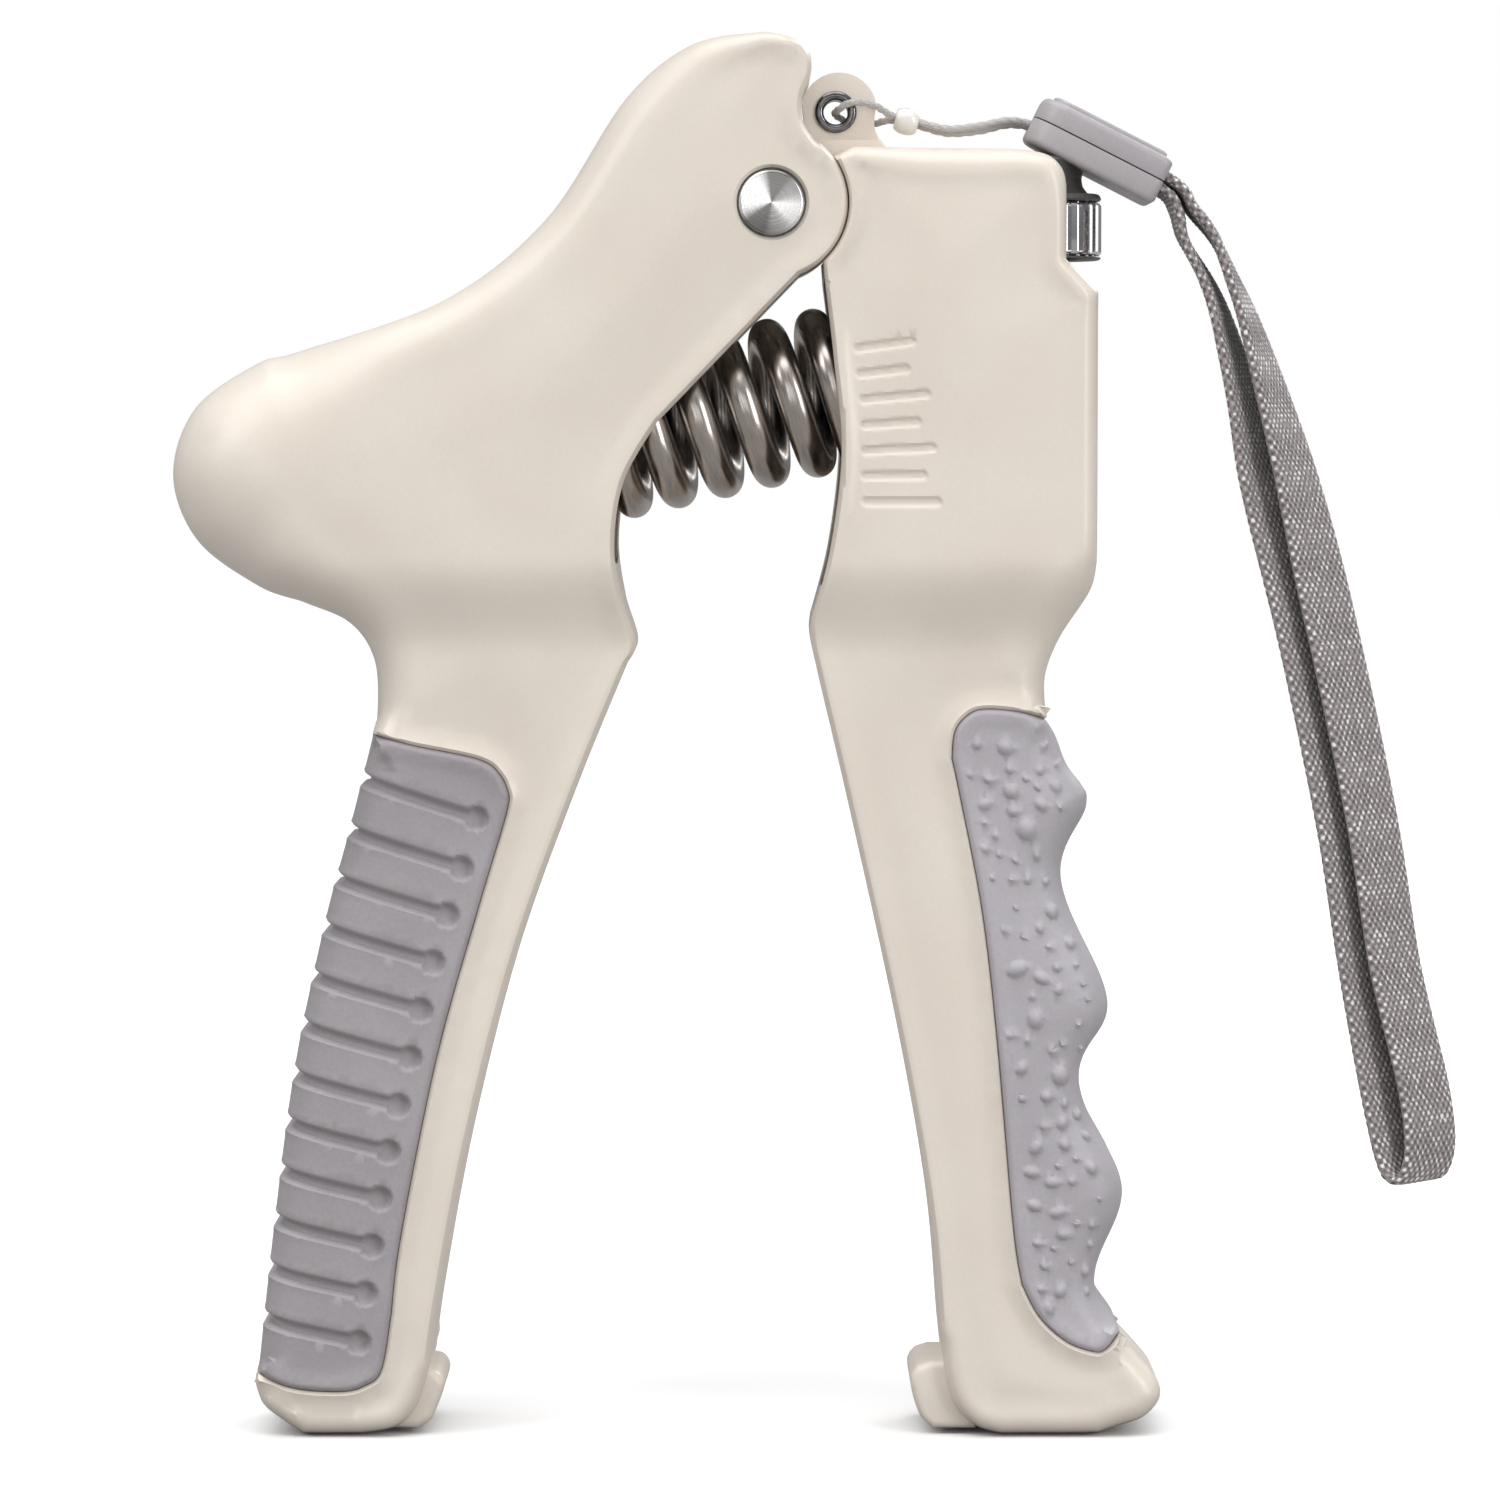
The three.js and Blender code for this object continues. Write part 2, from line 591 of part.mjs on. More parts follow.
// ---------------------------------------------------------------- strap
function roundedBar(low, high) {
  const [l, w, r] = [SLIDER.length / 2, SLIDER.width / 2, 1.6];
  const corners = [[l - r, -w + r, -90], [l - r, w - r, 0], [-l + r, w - r, 90], [-l + r, -w + r, 180]];
  const points = corners.flatMap(([x, z, from]) => arc({ x, z }, r, from, from + 90, 4));
  const geometry = new THREE.ExtrudeGeometry(new THREE.Shape(outline(points)), {
    depth: high - low,
    bevelEnabled: false,
  });
  return solid(geometry.translate(0, 0, low));
}

// One half of the block that clamps the cord loop and both ends of the webbing.
function sliderHalf(sign) {
  const half = SLIDER.thickness / 2;
  const bar = sign > 0 ? roundedBar(SEAM / 2, half) : roundedBar(-half, -SEAM / 2);
  const mouth = solid(block([-3, -5.5, -2], [SLIDER.length, 5.5, 2]));
  const cordHole = solid(rod(1.3, -SLIDER.length, 0, 12).rotateZ(-Math.PI / 2).translate(0, 0, -1));
  const cut = geometryOf(bar.subtract(mouth).subtract(cordHole));
  const mesh = new THREE.Mesh(cut, SLIDER_GREY);
  mesh.name = sign > 0 ? "strap_slider_upper" : "strap_slider_lower";
  mesh.rotation.y = -SLIDER_TILT;
  mesh.position.set(SLIDER.x, 0, SLIDER.z);
  return mesh;
}

// The cord leaves the slider, passes the bead, goes through the eyelet and comes back.
const CORD_ROUTE = [
  [46.4, -0.5, 154.75], [43.3, -0.5, 156.3], [40.6, -0.5, 156.7], [37.4, -0.5, 156.1],
  [33.6, -0.5, 155.7], [30.4, -0.5, 156.4], [28.6, -0.5, 156.8], [26.8, -0.6, 157.3],
  [25.8, -1.9, 157.8], [24.8, -3.1, 158.3], [23.2, -3.6, 158.7], [21.7, -3.8, 158.6],
  [20.6, -3.3, 158], [20.1, -1.8, 157.6], [20.1, 0, 157.6], [20.1, 1.8, 157.6],
  [20.6, 3.3, 157.2], [21.7, 3.8, 156.7], [23.2, 3.6, 156.5], [24.8, 3.1, 156.5],
  [25.8, 1.9, 156.7], [26.8, 0.6, 156.8], [28.6, 0.5, 156.4], [30.4, 0.5, 156],
  [33.6, 0.5, 155.2], [37.4, 0.5, 155.5], [40.6, 0.5, 156.2], [43.3, 0.5, 155.9], [46.4, 0.5, 154.4],
];

function tube(route, radius, steps) {
  const path = new THREE.CatmullRomCurve3(route.map((p) => new THREE.Vector3(...p)));
  const section = new THREE.Shape(arc({ x: 0, z: 0 }, radius, 0, 315, 7));
  return new THREE.ExtrudeGeometry(section, { steps, extrudePath: path, bevelEnabled: false });
}

function cordBead() {
  const profile = [[1.2, -1.7], [1.5, -1.7], [1.8, -0.8], [1.8, 0.8], [1.5, 1.7], [1.2, 1.7], [1.2, -1.7]];
  const bead = turned(profile, 14).rotateZ(-Math.PI / 2).rotateY(THREE.MathUtils.degToRad(14));
  return bead.translate(28.6, 0, 156.6);
}

// The middle line of the webbing loop, down its far layer and up its near one.
const WEB_ROUTE = [
  [51, 152.3], [58.9, 148.45], [60.8, 146], [61.7, 142.6], [64.45, 137.8], [66.4, 133], [69.1, 123.4],
  [71.2, 113.8], [75.25, 99.4], [78.55, 85], [81.45, 70.6], [83.7, 56.2], [85.4, 46.6], [86.3, 41.8],
  [87.3, 37], [88.3, 32.8], [89.4, 30.2], [90.9, 29.9], [91.9, 32.6], [91.8, 36.5], [90.9, 41.8],
  [89.7, 46.6], [87.45, 56.2], [85.15, 70.6], [82.25, 85], [79, 99.4], [75.5, 113.8], [72.7, 123.4],
  [69.6, 133], [67.65, 137.8], [65.5, 142.6], [62.7, 146.2], [60.5, 149.2], [51.8, 153.9],
];
const WEB_TURN = { start: 100, rise: 45, angle: 48 }; // the width slants, and is square at the top

function webbingLoop() {
  const middle = new THREE.SplineCurve(vectors(WEB_ROUTE)).getSpacedPoints(64);
  const half = WEB_THICKNESS / 2;
  const side = (sign) => middle.map((p, i) => {
    const along = middle[Math.min(i + 1, middle.length - 1)].clone().sub(middle[Math.max(i - 1, 0)]);
    const normal = new THREE.Vector2(along.y, -along.x).normalize();
    return p.clone().addScaledVector(normal, sign * half);
  });
  const band = new THREE.Shape([...side(1), ...side(-1).reverse()]);
  const options = { depth: WEB_WIDTH, bevelEnabled: false };
  const geometry = new THREE.ExtrudeGeometry(band, options).rotateX(Math.PI / 2);
  geometry.translate(0, WEB_WIDTH / 2, 0);
  const place = geometry.attributes.position;
  for (let i = 0; i < place.count; i += 1) {
    const turn = THREE.MathUtils.clamp((place.getZ(i) - WEB_TURN.start) / WEB_TURN.rise, 0, 1);
    const angle = THREE.MathUtils.degToRad(WEB_TURN.angle + (90 - WEB_TURN.angle) * turn ** 1.5);
    const across = place.getY(i);
    place.setX(i, place.getX(i) + across * Math.cos(angle));
    place.setY(i, across * Math.sin(angle));
  }
  return geometry;
}

// ---------------------------------------------------------------- assembly
function mesh(name, geometry, material) {
  const piece = new THREE.Mesh(geometry, material);
  piece.name = name;
  return piece;
}

function shellPair(side, form) {
  return [
    mesh(side + "_front_shell", geometryOf(halfOf(form, -1)), CREAM),
    mesh(side + "_back_shell", geometryOf(halfOf(form, 1)), CREAM),
  ];
}

function shellScrews(side, places) {
  return places.map(([x, z], i) => {
    const screw = mesh(side + "_shell_screw_" + (i + 1), screwGeometry(screwSeat(z)), STEEL);
    screw.position.set(x, 0, z);
    return screw;
  });
}

function leftHandle() {
  const group = new THREE.Group();
  group.add(...shellPair("left", leftForm()));
  group.add(mesh("palm_grip", geometryOf(softGrip(LEFT_GRIP, LEFT_TANG)), SOFT_GREY));
  group.add(mesh("left_stop_bumper", geometryOf(bumper(LEFT_BUMPER)), CREAM));
  group.add(mesh("fixed_spring_seat", fixedSeat(), BLACK));
  group.add(mesh("pivot_pin", pivotPin(), STEEL));
  group.add(mesh("pivot_cap", pivotCap(), STEEL));
  group.add(mesh("front_washer", pivotWasher(-1), BRASS));
  group.add(mesh("back_washer", pivotWasher(1), BRASS));
  group.add(...shellScrews("left", LEFT_SCREWS));
  return group;
}

function rightHandle() {
  const group = new THREE.Group();
  group.add(...shellPair("right", rightForm()));
  group.add(mesh("finger_grip", geometryOf(softGrip(RIGHT_GRIP, RIGHT_TANG)), SOFT_GREY));
  group.add(mesh("right_stop_bumper", geometryOf(bumper(RIGHT_BUMPER)), CREAM));
  group.add(mesh("hinge_tongue", geometryOf(hingeTongue()), CREAM));
  group.add(mesh("pivot_bush", pivotBush(), BRASS));
  group.add(mesh("strap_eyelet", strapEyelet(), CHROME));
  group.add(mesh("upper_screw_bearing", screwBearing(BEARING.top), BRASS));
  group.add(mesh("lower_screw_bearing", screwBearing(BEARING.foot), BRASS));
  group.add(...shellScrews("right", RIGHT_SCREWS));
  return group;
}

function adjuster() {
  const group = new THREE.Group();
  group.add(mesh("knob_sleeve", knobSleeve(), CHROME));
  group.add(mesh("knob_core", knobCore(), BLACK));
  group.add(mesh("lead_screw", leadScrew(), STEEL));
  group.add(mesh("spring_carriage", geometryOf(carriage()), BLACK));
  group.add(mesh("carriage_nut", carriageNut(), BRASS));
  return group;
}

function strap() {
  const group = new THREE.Group();
  group.add(mesh("lanyard_cord", tube(CORD_ROUTE, CORD_R, 64), CORD_GREY));
  group.add(mesh("cord_bead", cordBead(), PEARL));
  group.add(sliderHalf(1), sliderHalf(-1));
  group.add(mesh("webbing_loop", webbingLoop(), WEBBING));
  return group;
}

const gripper = new THREE.Group();
gripper.add(leftHandle(), rightHandle(), adjuster(), strap());
gripper.add(mesh("main_spring", mainSpring(), DARK_NICKEL));

export default gripper;
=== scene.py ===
"""Adjustable coil-spring hand gripper with a wrist strap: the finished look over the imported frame.

Shapes are laid out in millimetres in the x-z plane, with y as depth, and made in metres.
"""
import bpy
import math
import numpy as np
from mathutils import Matrix, Vector, kdtree
from mathutils.geometry import delaunay_2d_cdt


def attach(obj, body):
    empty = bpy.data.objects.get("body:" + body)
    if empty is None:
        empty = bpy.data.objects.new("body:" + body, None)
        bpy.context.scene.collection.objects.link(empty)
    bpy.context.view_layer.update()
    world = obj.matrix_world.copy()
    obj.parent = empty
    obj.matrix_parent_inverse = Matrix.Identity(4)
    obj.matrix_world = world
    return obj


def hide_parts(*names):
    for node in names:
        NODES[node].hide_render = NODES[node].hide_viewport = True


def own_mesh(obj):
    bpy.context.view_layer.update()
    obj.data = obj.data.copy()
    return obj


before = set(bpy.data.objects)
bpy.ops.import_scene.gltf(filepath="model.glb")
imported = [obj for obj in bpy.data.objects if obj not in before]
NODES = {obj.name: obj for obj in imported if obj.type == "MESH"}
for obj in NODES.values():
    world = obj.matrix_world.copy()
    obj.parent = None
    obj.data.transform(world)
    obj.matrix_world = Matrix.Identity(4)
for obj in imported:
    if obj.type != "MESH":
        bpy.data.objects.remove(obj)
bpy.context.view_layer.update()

MM = 0.001
HOUSING_HALF = 14.0  # half depth of the upper bodies
LEG_HALF = 11.0  # half depth of the legs
GRIP_HALF = 11.3  # half depth of the soft grips
SEAM = 0.12  # half the gap between a front and a back shell
BORDER = 7.8  # where the walls between a shell and its soft grip end
PIVOT = (12.42, 146.52)
SPRING_SEAT = np.array([-10.5, 0.0, 118.0])
SPRING_TILT = math.radians(12.4)
KNOB_X = 43.9

# ---------------------------------------------------------------- camera and view
bpy.ops.object.select_all(action="DESELECT")
bpy.ops.object.camera_add(
    location=(0.0099, -0.7, 0.122), rotation=(math.pi / 2 - math.atan2(0.0406, 0.7), 0, 0)
)
camera = bpy.context.object
camera.name = "studio_camera"
camera.data.sensor_width = 36
camera.data.lens = 140
bpy.context.scene.camera = camera
bpy.context.scene.view_settings.view_transform = "Standard"


# ---------------------------------------------------------------- small tools
def fresh_start():
    """Leaves edit mode with nothing selected."""
    if bpy.context.object and bpy.context.object.mode != "OBJECT":
        bpy.ops.object.mode_set(mode="OBJECT")
    bpy.ops.object.select_all(action="DESELECT")


def take(obj):
    fresh_start()
    obj.select_set(True)
    bpy.context.view_layer.objects.active = obj
    return obj


def edit(obj, what="VERT"):
    take(obj)
    bpy.ops.object.mode_set(mode="EDIT")
    bpy.ops.mesh.select_mode(type=what)
    bpy.ops.mesh.select_all(action="SELECT")


def leave_edit():
    bpy.ops.object.mode_set(mode="OBJECT")


def choose(obj, kind, wanted):
    """In edit mode, selects the vertices, edges or faces that answer the question."""
    bpy.ops.mesh.select_all(action="DESELECT")
    bpy.ops.mesh.select_mode(type=kind)
    bpy.ops.object.mode_set(mode="OBJECT")
    mesh = obj.data
    items = {"VERT": mesh.vertices, "EDGE": mesh.edges, "FACE": mesh.polygons}[kind]
    for item in items:
        item.select = bool(wanted(item))
    bpy.ops.object.mode_set(mode="EDIT")


def apply_modifier(obj, kind, **settings):
    take(obj)
    bpy.ops.object.modifier_add(type=kind)
    modifier = obj.modifiers[-1]
    for name, value in settings.items():
        setattr(modifier, name, value)
    bpy.ops.object.modifier_apply(modifier=modifier.name)


def settle(obj):
    """Puts the piece's place into its mesh."""
    take(obj)
    bpy.ops.object.transform_apply(location=True, rotation=True, scale=True)


def outward(obj, merge=0.00001):
    edit(obj)
    bpy.ops.mesh.remove_doubles(threshold=merge)
    bpy.ops.mesh.normals_make_consistent(inside=False)
    leave_edit()


def piece(name, vertices, faces, edges=()):
    """A new piece from vertices in millimetres."""
    mesh = bpy.data.meshes.new(name)
    rows = (np.asarray(vertices, float) * MM).tolist()
    mesh.from_pydata(rows, list(edges), [tuple(map(int, f)) for f in faces])
    obj = bpy.data.objects.new(name, mesh)
    bpy.context.scene.collection.objects.link(obj)
    return take(obj)


def dress(obj, name, material, body, slot, *nodes, angle=38):
    """Names, smooths and paints a finished piece, says what it rides on and hides the parts it stands for."""
    take(obj)
    bpy.ops.object.shade_smooth_by_angle(angle=math.radians(angle))
    obj.name = name
    obj.data.name = name
    obj.data.materials.clear()
    obj.data.materials.append(material)
    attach(obj, body)
    if nodes:
        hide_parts(*nodes)
    return obj


def turned(profile, steps=64):
    """Spins a profile of [radius, height] about the upright axis."""
    rows = [(r, 0, h) for r, h in profile]
    obj = piece("turned", rows, [], [(i, i + 1) for i in range(len(rows) - 1)])
    edit(obj)
    bpy.ops.mesh.spin(steps=steps, angle=2 * math.pi, center=(0, 0, 0), axis=(0, 0, 1))
    leave_edit()
    outward(obj)
    return obj


def put(obj, place, turn=None):
    """Turns a piece about the origin, then moves it to a place in millimetres."""
    matrix = turn.to_4x4() if turn is not None else Matrix.Identity(4)
    obj.matrix_world = Matrix.Translation(Vector(place) * MM) @ matrix
    settle(obj)
    return obj


TO_BACK = Matrix.Rotation(-math.pi / 2, 3, "X")  # a turned piece's top faces the back
TO_FRONT = Matrix.Rotation(math.pi / 2, 3, "X")


def rounded(points, radius, count=6):
    """A closed or open profile with its inner corners rounded."""
    rows = [points[0]]
    for before, here, after in zip(points, points[1:], points[2:]):
        a, b, c = map(np.array, (before, here, after))
        reach = min(radius, 0.45 * np.linalg.norm(a - b), 0.45 * np.linalg.norm(c - b))
        first = b + (a - b) / np.linalg.norm(a - b) * reach
        last = b + (c - b) / np.linalg.norm(c - b) * reach
        for t in np.linspace(0, 1, count):
            rows.append(tuple((1 - t) ** 2 * first + 2 * t * (1 - t) * b + t * t * last))
    return rows + [points[-1]]


def spline(points, step=0.55):
    """Points about a step apart on the smooth curve through the given points."""
    p = np.array(points, float)
    rows = []
    for i in range(len(p) - 1):
        before, here, after, beyond = p[max(i - 1, 0)], p[i], p[i + 1], p[min(i + 2, len(p) - 1)]
        count = max(1, round(float(np.linalg.norm(after - here)) / step))
        t = (np.arange(count) / count)[:, None]
        leave, arrive = (after - before) / 2, (beyond - here) / 2
        cubic = (2 * here - 2 * after + leave + arrive) * t**3
        rows.append(cubic + (3 * after - 3 * here - 2 * leave - arrive) * t**2 + leave * t + here)
    return np.vstack(rows + [p[-1:]])


def straight(points, step=0.55):
    p = np.array(points, float)
    rows = []
    for a, b in zip(p, p[1:]):
        count = max(1, round(float(np.linalg.norm(b - a)) / step))
        rows.append(a + (b - a) * (np.arange(count) / count)[:, None])
    return np.vstack(rows + [p[-1:]])


def arc(centre, radius, start, stop, step=0.55):
    count = max(2, round(abs(math.radians(stop - start)) * radius / step))
    t = np.radians(np.linspace(start, stop, count + 1))
    return np.column_stack([centre[0] + radius * np.cos(t), centre[1] + radius * np.sin(t)])


def ease(low, high, value):
    t = np.clip((value - low) / (high - low), 0, 1)
    return t * t * (3 - 2 * t)


def cube(size, place=(0, 0, 0), turn=(0, 0, 0)):
    """A box of a size and place in metres."""
    bpy.ops.object.select_all(action="DESELECT")
    bpy.ops.mesh.primitive_cube_add(size=1, location=place, rotation=turn, scale=size)
    return bpy.context.object


# ---------------------------------------------------------------- cords
# Routes in millimetres: the lanyard runs from the slider round the eyelet and back.
LANYARD_ROUTE = [
    [46.4, -0.5, 154.75], [43.3, -0.5, 156.3], [40.6, -0.5, 156.7], [37.4, -0.5, 156.1],
    [33.6, -0.5, 155.7], [30.4, -0.5, 156.4], [28.6, -0.5, 156.8], [26.8, -0.6, 157.3],
    [25.8, -1.9, 157.8], [24.8, -3.1, 158.3], [23.2, -3.6, 158.7], [21.7, -3.8, 158.6],
    [20.6, -3.3, 158.0], [20.1, -1.8, 157.6], [20.1, 0.0, 157.6], [20.1, 1.8, 157.6],
    [20.6, 3.3, 157.2], [21.7, 3.8, 156.7], [23.2, 3.6, 156.5], [24.8, 3.1, 156.5],
    [25.8, 1.9, 156.7], [26.8, 0.6, 156.8], [28.6, 0.5, 156.4], [30.4, 0.5, 156.0],
    [33.6, 0.5, 155.2], [37.4, 0.5, 155.5], [40.6, 0.5, 156.2], [43.3, 0.5, 155.9],
    [46.4, 0.5, 154.4],
]
STRAP_ROUTE = [
    [51.0, 152.3], [58.9, 148.45], [60.8, 146.0], [61.7, 142.6], [64.45, 137.8], [66.4, 133.0],
    [69.1, 123.4], [71.2, 113.8], [75.25, 99.4], [78.55, 85.0], [81.45, 70.6], [83.7, 56.2],
    [85.4, 46.6], [86.3, 41.8], [87.3, 37.0], [88.3, 32.8], [89.4, 30.2], [90.9, 29.9],
    [91.9, 32.6], [91.8, 36.5], [90.9, 41.8], [89.7, 46.6], [87.45, 56.2], [85.15, 70.6],
    [82.25, 85.0], [79.0, 99.4], [75.5, 113.8], [72.7, 123.4], [69.6, 133.0], [67.65, 137.8],
    [65.5, 142.6], [62.7, 146.2], [60.5, 149.2], [51.8, 153.9],
]


def spaced(points, step):
    """Evenly spaced points along a line of points."""
    p = np.asarray(points, float)
    travel = np.concatenate([[0], np.cumsum(np.linalg.norm(np.diff(p, axis=0), axis=1))])
    count = max(2, round(travel[-1] / step))
    wanted = np.linspace(0, travel[-1], count + 1)
    line = np.column_stack([np.interp(wanted, travel, p[:, k]) for k in range(p.shape[1])])
    return line, wanted


def swept(name, centres, sides, section, closed_ends=True):
    """A tube round a line; section(i) gives ring i's offsets as rows of x, y, z in millimetres."""
    rings = [centres[i] + section(i) for i in range(len(centres))]
    n = len(centres)
    faces = []
    for i in range(n - 1):
        for k in range(sides):
            m = (k + 1) % sides
            faces.append((i * sides + k, i * sides + m, (i + 1) * sides + m, (i + 1) * sides + k))
    if closed_ends:
        faces.append(tuple(reversed(range(sides))))
        faces.append(tuple(range((n - 1) * sides, n * sides)))
    obj = piece(name, np.vstack(rings), faces)
    return obj


def side_frames(centres, up):
    """Unit vectors across and above a line at each of its points, kept from twisting."""
    along = np.gradient(centres, axis=0)
    along /= np.linalg.norm(along, axis=1)[:, None]
    above = np.zeros_like(along)
    carried = np.array(up, float)
    for i, t in enumerate(along):
        carried = carried - t * np.dot(carried, t)
        carried /= np.linalg.norm(carried)
        above[i] = carried
    return along, np.cross(above, along), above


def lay_uv(obj, sides, travel, round_length):
    """Lays a map with u round a tube and v along it, both in millimetres over ten."""
    layer = obj.data.uv_layers.new(name="lay")
    for polygon in obj.data.polygons:
        last_column = len(polygon.loop_indices) == 4 and any(
            v % sides == sides - 1 for v in polygon.vertices
        ) and any(v % sides == 0 for v in polygon.vertices)
        for loop in polygon.loop_indices:
            index = obj.data.loops[loop].vertex_index
            ring, column = divmod(index, sides)
            if last_column and column == 0:
                column = sides
            layer.data[loop].uv = (column / sides * round_length / 10, travel[ring] / 10)


def lanyard():
    """Two strands of a fine twisted cord, threaded through the eyelet and the bead."""
    line, travel = spaced(spline(LANYARD_ROUTE, 0.2), 0.16)
    _, across, above = side_frames(line, (0, 0, 1))
    sides, radius = 14, 0.41
    angle = np.arange(sides) / sides * 2 * math.pi

    def section(i):
        lobes = 1 + 0.13 * np.cos(3 * (angle - travel[i] * 2 * math.pi / 4.2))
        r = (radius * lobes)[:, None]
        return r * (np.cos(angle)[:, None] * across[i] + np.sin(angle)[:, None] * above[i])

    obj = swept("lanyard", line, sides, section)
    lay_uv(obj, sides, travel, 2 * math.pi * radius)
    outward(obj)
    return obj, line, float(travel[-1])


STRAP_HALF_WIDTH, STRAP_HALF_THICK = 5.0, 0.6


def strap_turn(z):
    """Angle of the webbing's width from the x axis: square at the slider, slanting lower down."""
    return np.radians(48 + 42 * np.clip((z - 100) / 45, 0, 1) ** 1.5)


def strap():
    """The flat woven loop, with its picks and ribs as real relief."""
    flat = spline(STRAP_ROUTE, 0.5)
    line, travel = spaced(np.column_stack([flat[:, 0], np.zeros(len(flat)), flat[:, 1]]), 0.3)
    along = np.gradient(line, axis=0)
    along /= np.linalg.norm(along, axis=1)[:, None]
    turn = strap_turn(line[:, 2])
    wide = np.column_stack([np.cos(turn), np.sin(turn), np.zeros(len(line))])
    face = np.cross(along, wide)
    face /= np.linalg.norm(face, axis=1)[:, None]
    columns = 42
    t = np.linspace(-1, 1, columns)
    edge = 1 - np.abs(t) ** 14
    across = np.concatenate([t, t[::-1]])
    side = np.concatenate([np.ones(columns), -np.ones(columns)])
    thick = np.concatenate([edge, edge[::-1]])
    ribs = np.cos(across * STRAP_HALF_WIDTH * 2 * math.pi / 1.05)

    def section(i):
        step = np.where(ribs > 0, 0.0, 0.5)
        picks = np.cos(2 * math.pi * (travel[i] / 1.1 + step))
        relief = 0.08 * picks + 0.06 * np.abs(ribs)
        high = side * (STRAP_HALF_THICK * (0.25 + 0.65 * thick) + relief * thick)
        return (across * STRAP_HALF_WIDTH)[:, None] * wide[i] + high[:, None] * face[i]

    obj = swept("strap", line, 2 * columns, section)
    lay_uv(obj, 2 * columns, travel, 4 * STRAP_HALF_WIDTH)
    outward(obj)
    return obj, line, float(travel[-1])


# ---------------------------------------------------------------- moulded skins
class Rim:
    """A closed line in x and z with material on its left, its edge radius and its wall's end."""

    def __init__(self, *stretches, step=0.55, blend=4.0):
        rows = []
        for points, radius, wall in stretches:
            for x, z in points:
                edge = radius(x, z) if callable(radius) else radius
                rows.append((x, z, edge, wall(z) if callable(wall) else wall))
        self.rows = self._even(np.array(rows), step)
        self._soften(round(blend / step))
        ahead = np.roll(self.rows[:, :2], -1, axis=0)
        behind = np.roll(self.rows[:, :2], 1, axis=0)
        along = ahead - behind
        along /= np.linalg.norm(along, axis=1)[:, None]
        self.inward = np.column_stack([-along[:, 1], along[:, 0]])
        parting = (self.rows[:, 3] == BORDER)[:, None]
        self.rows[:, :2] += self.inward * np.where(parting, 0.03, 0.0)

    @staticmethod
    def _even(rows, step):
        out = []
        for i, here in enumerate(rows):
            after = rows[(i + 1) % len(rows)]
            length = float(np.linalg.norm(after[:2] - here[:2]))
            if length < 0.02:
                continue
            count = max(1, round(length / step))
            for t in np.arange(count) / count:
                spot = here + (after - here) * t
                spot[3] = here[3]
                out.append(spot)
        kept = [out[0]]
        for row in out[1:]:
            if np.linalg.norm(row[:2] - kept[-1][:2]) > 0.3 * step:
                kept.append(row)
        if np.linalg.norm(kept[-1][:2] - kept[0][:2]) < 0.3 * step:
            kept.pop()
        return np.array(kept)

    def _soften(self, reach):
        """Blends the edge radius along the rim, so that one rounding runs into the next."""
        if reach < 1:
            return
        weights = np.hanning(2 * reach + 3)[1:-1]
        weights /= weights.sum()
        radius = self.rows[:, 2]
        padded = np.concatenate([radius[-reach:], radius, radius[:reach]])
        self.rows[:, 2] = np.convolve(padded, weights, mode="valid")


def inside(points, rims):
    """Which points lie inside the outer rim and outside the holes."""
    odd = np.zeros(len(points), bool)
    px, pz = points[:, 0], points[:, 1]
    for rim in rims:
        a = rim.rows[:, :2]
        b = np.roll(a, -1, axis=0)
        for (ax, az), (bx, bz) in zip(a, b):
            if az == bz:
                continue
            crossing = (az > pz) != (bz > pz)
            odd ^= crossing & (px < (bx - ax) * (pz - az) / (bz - az) + ax)
    return odd


def rim_tree(rims):
    rows = np.vstack([rim.rows for rim in rims])
    tree = kdtree.KDTree(len(rows))
    for i, row in enumerate(rows):
        tree.insert((row[0], row[1], 0), i)
    tree.balance()
    return tree, rows


def rim_distance(points, rims):
    """Distance from each point to the rims, and the edge radius there."""
    tree, rows = rim_tree(rims)
    after = np.vstack([np.roll(rim.rows, -1, axis=0) for rim in rims])
    before = np.vstack([np.roll(rim.rows, 1, axis=0) for rim in rims])
    distance, radius = np.zeros(len(points)), np.zeros(len(points))
    for n, p in enumerate(points):
        near = tree.find_n((p[0], p[1], 0), 2)
        best = (1e9, 0)
        for _, i, _ in near:
            for other in (after[i], before[i]):
                a, b = rows[i], other
                ab = b[:2] - a[:2]
                t = min(1.0, max(0.0, float(np.dot(p - a[:2], ab) / max(1e-9, np.dot(ab, ab)))))
                d = float(np.linalg.norm(p - a[:2] - ab * t))
                if d < best[0]:
                    best = (d, a[2] + (b[2] - a[2]) * t)
        distance[n], radius[n] = best
    return distance, radius


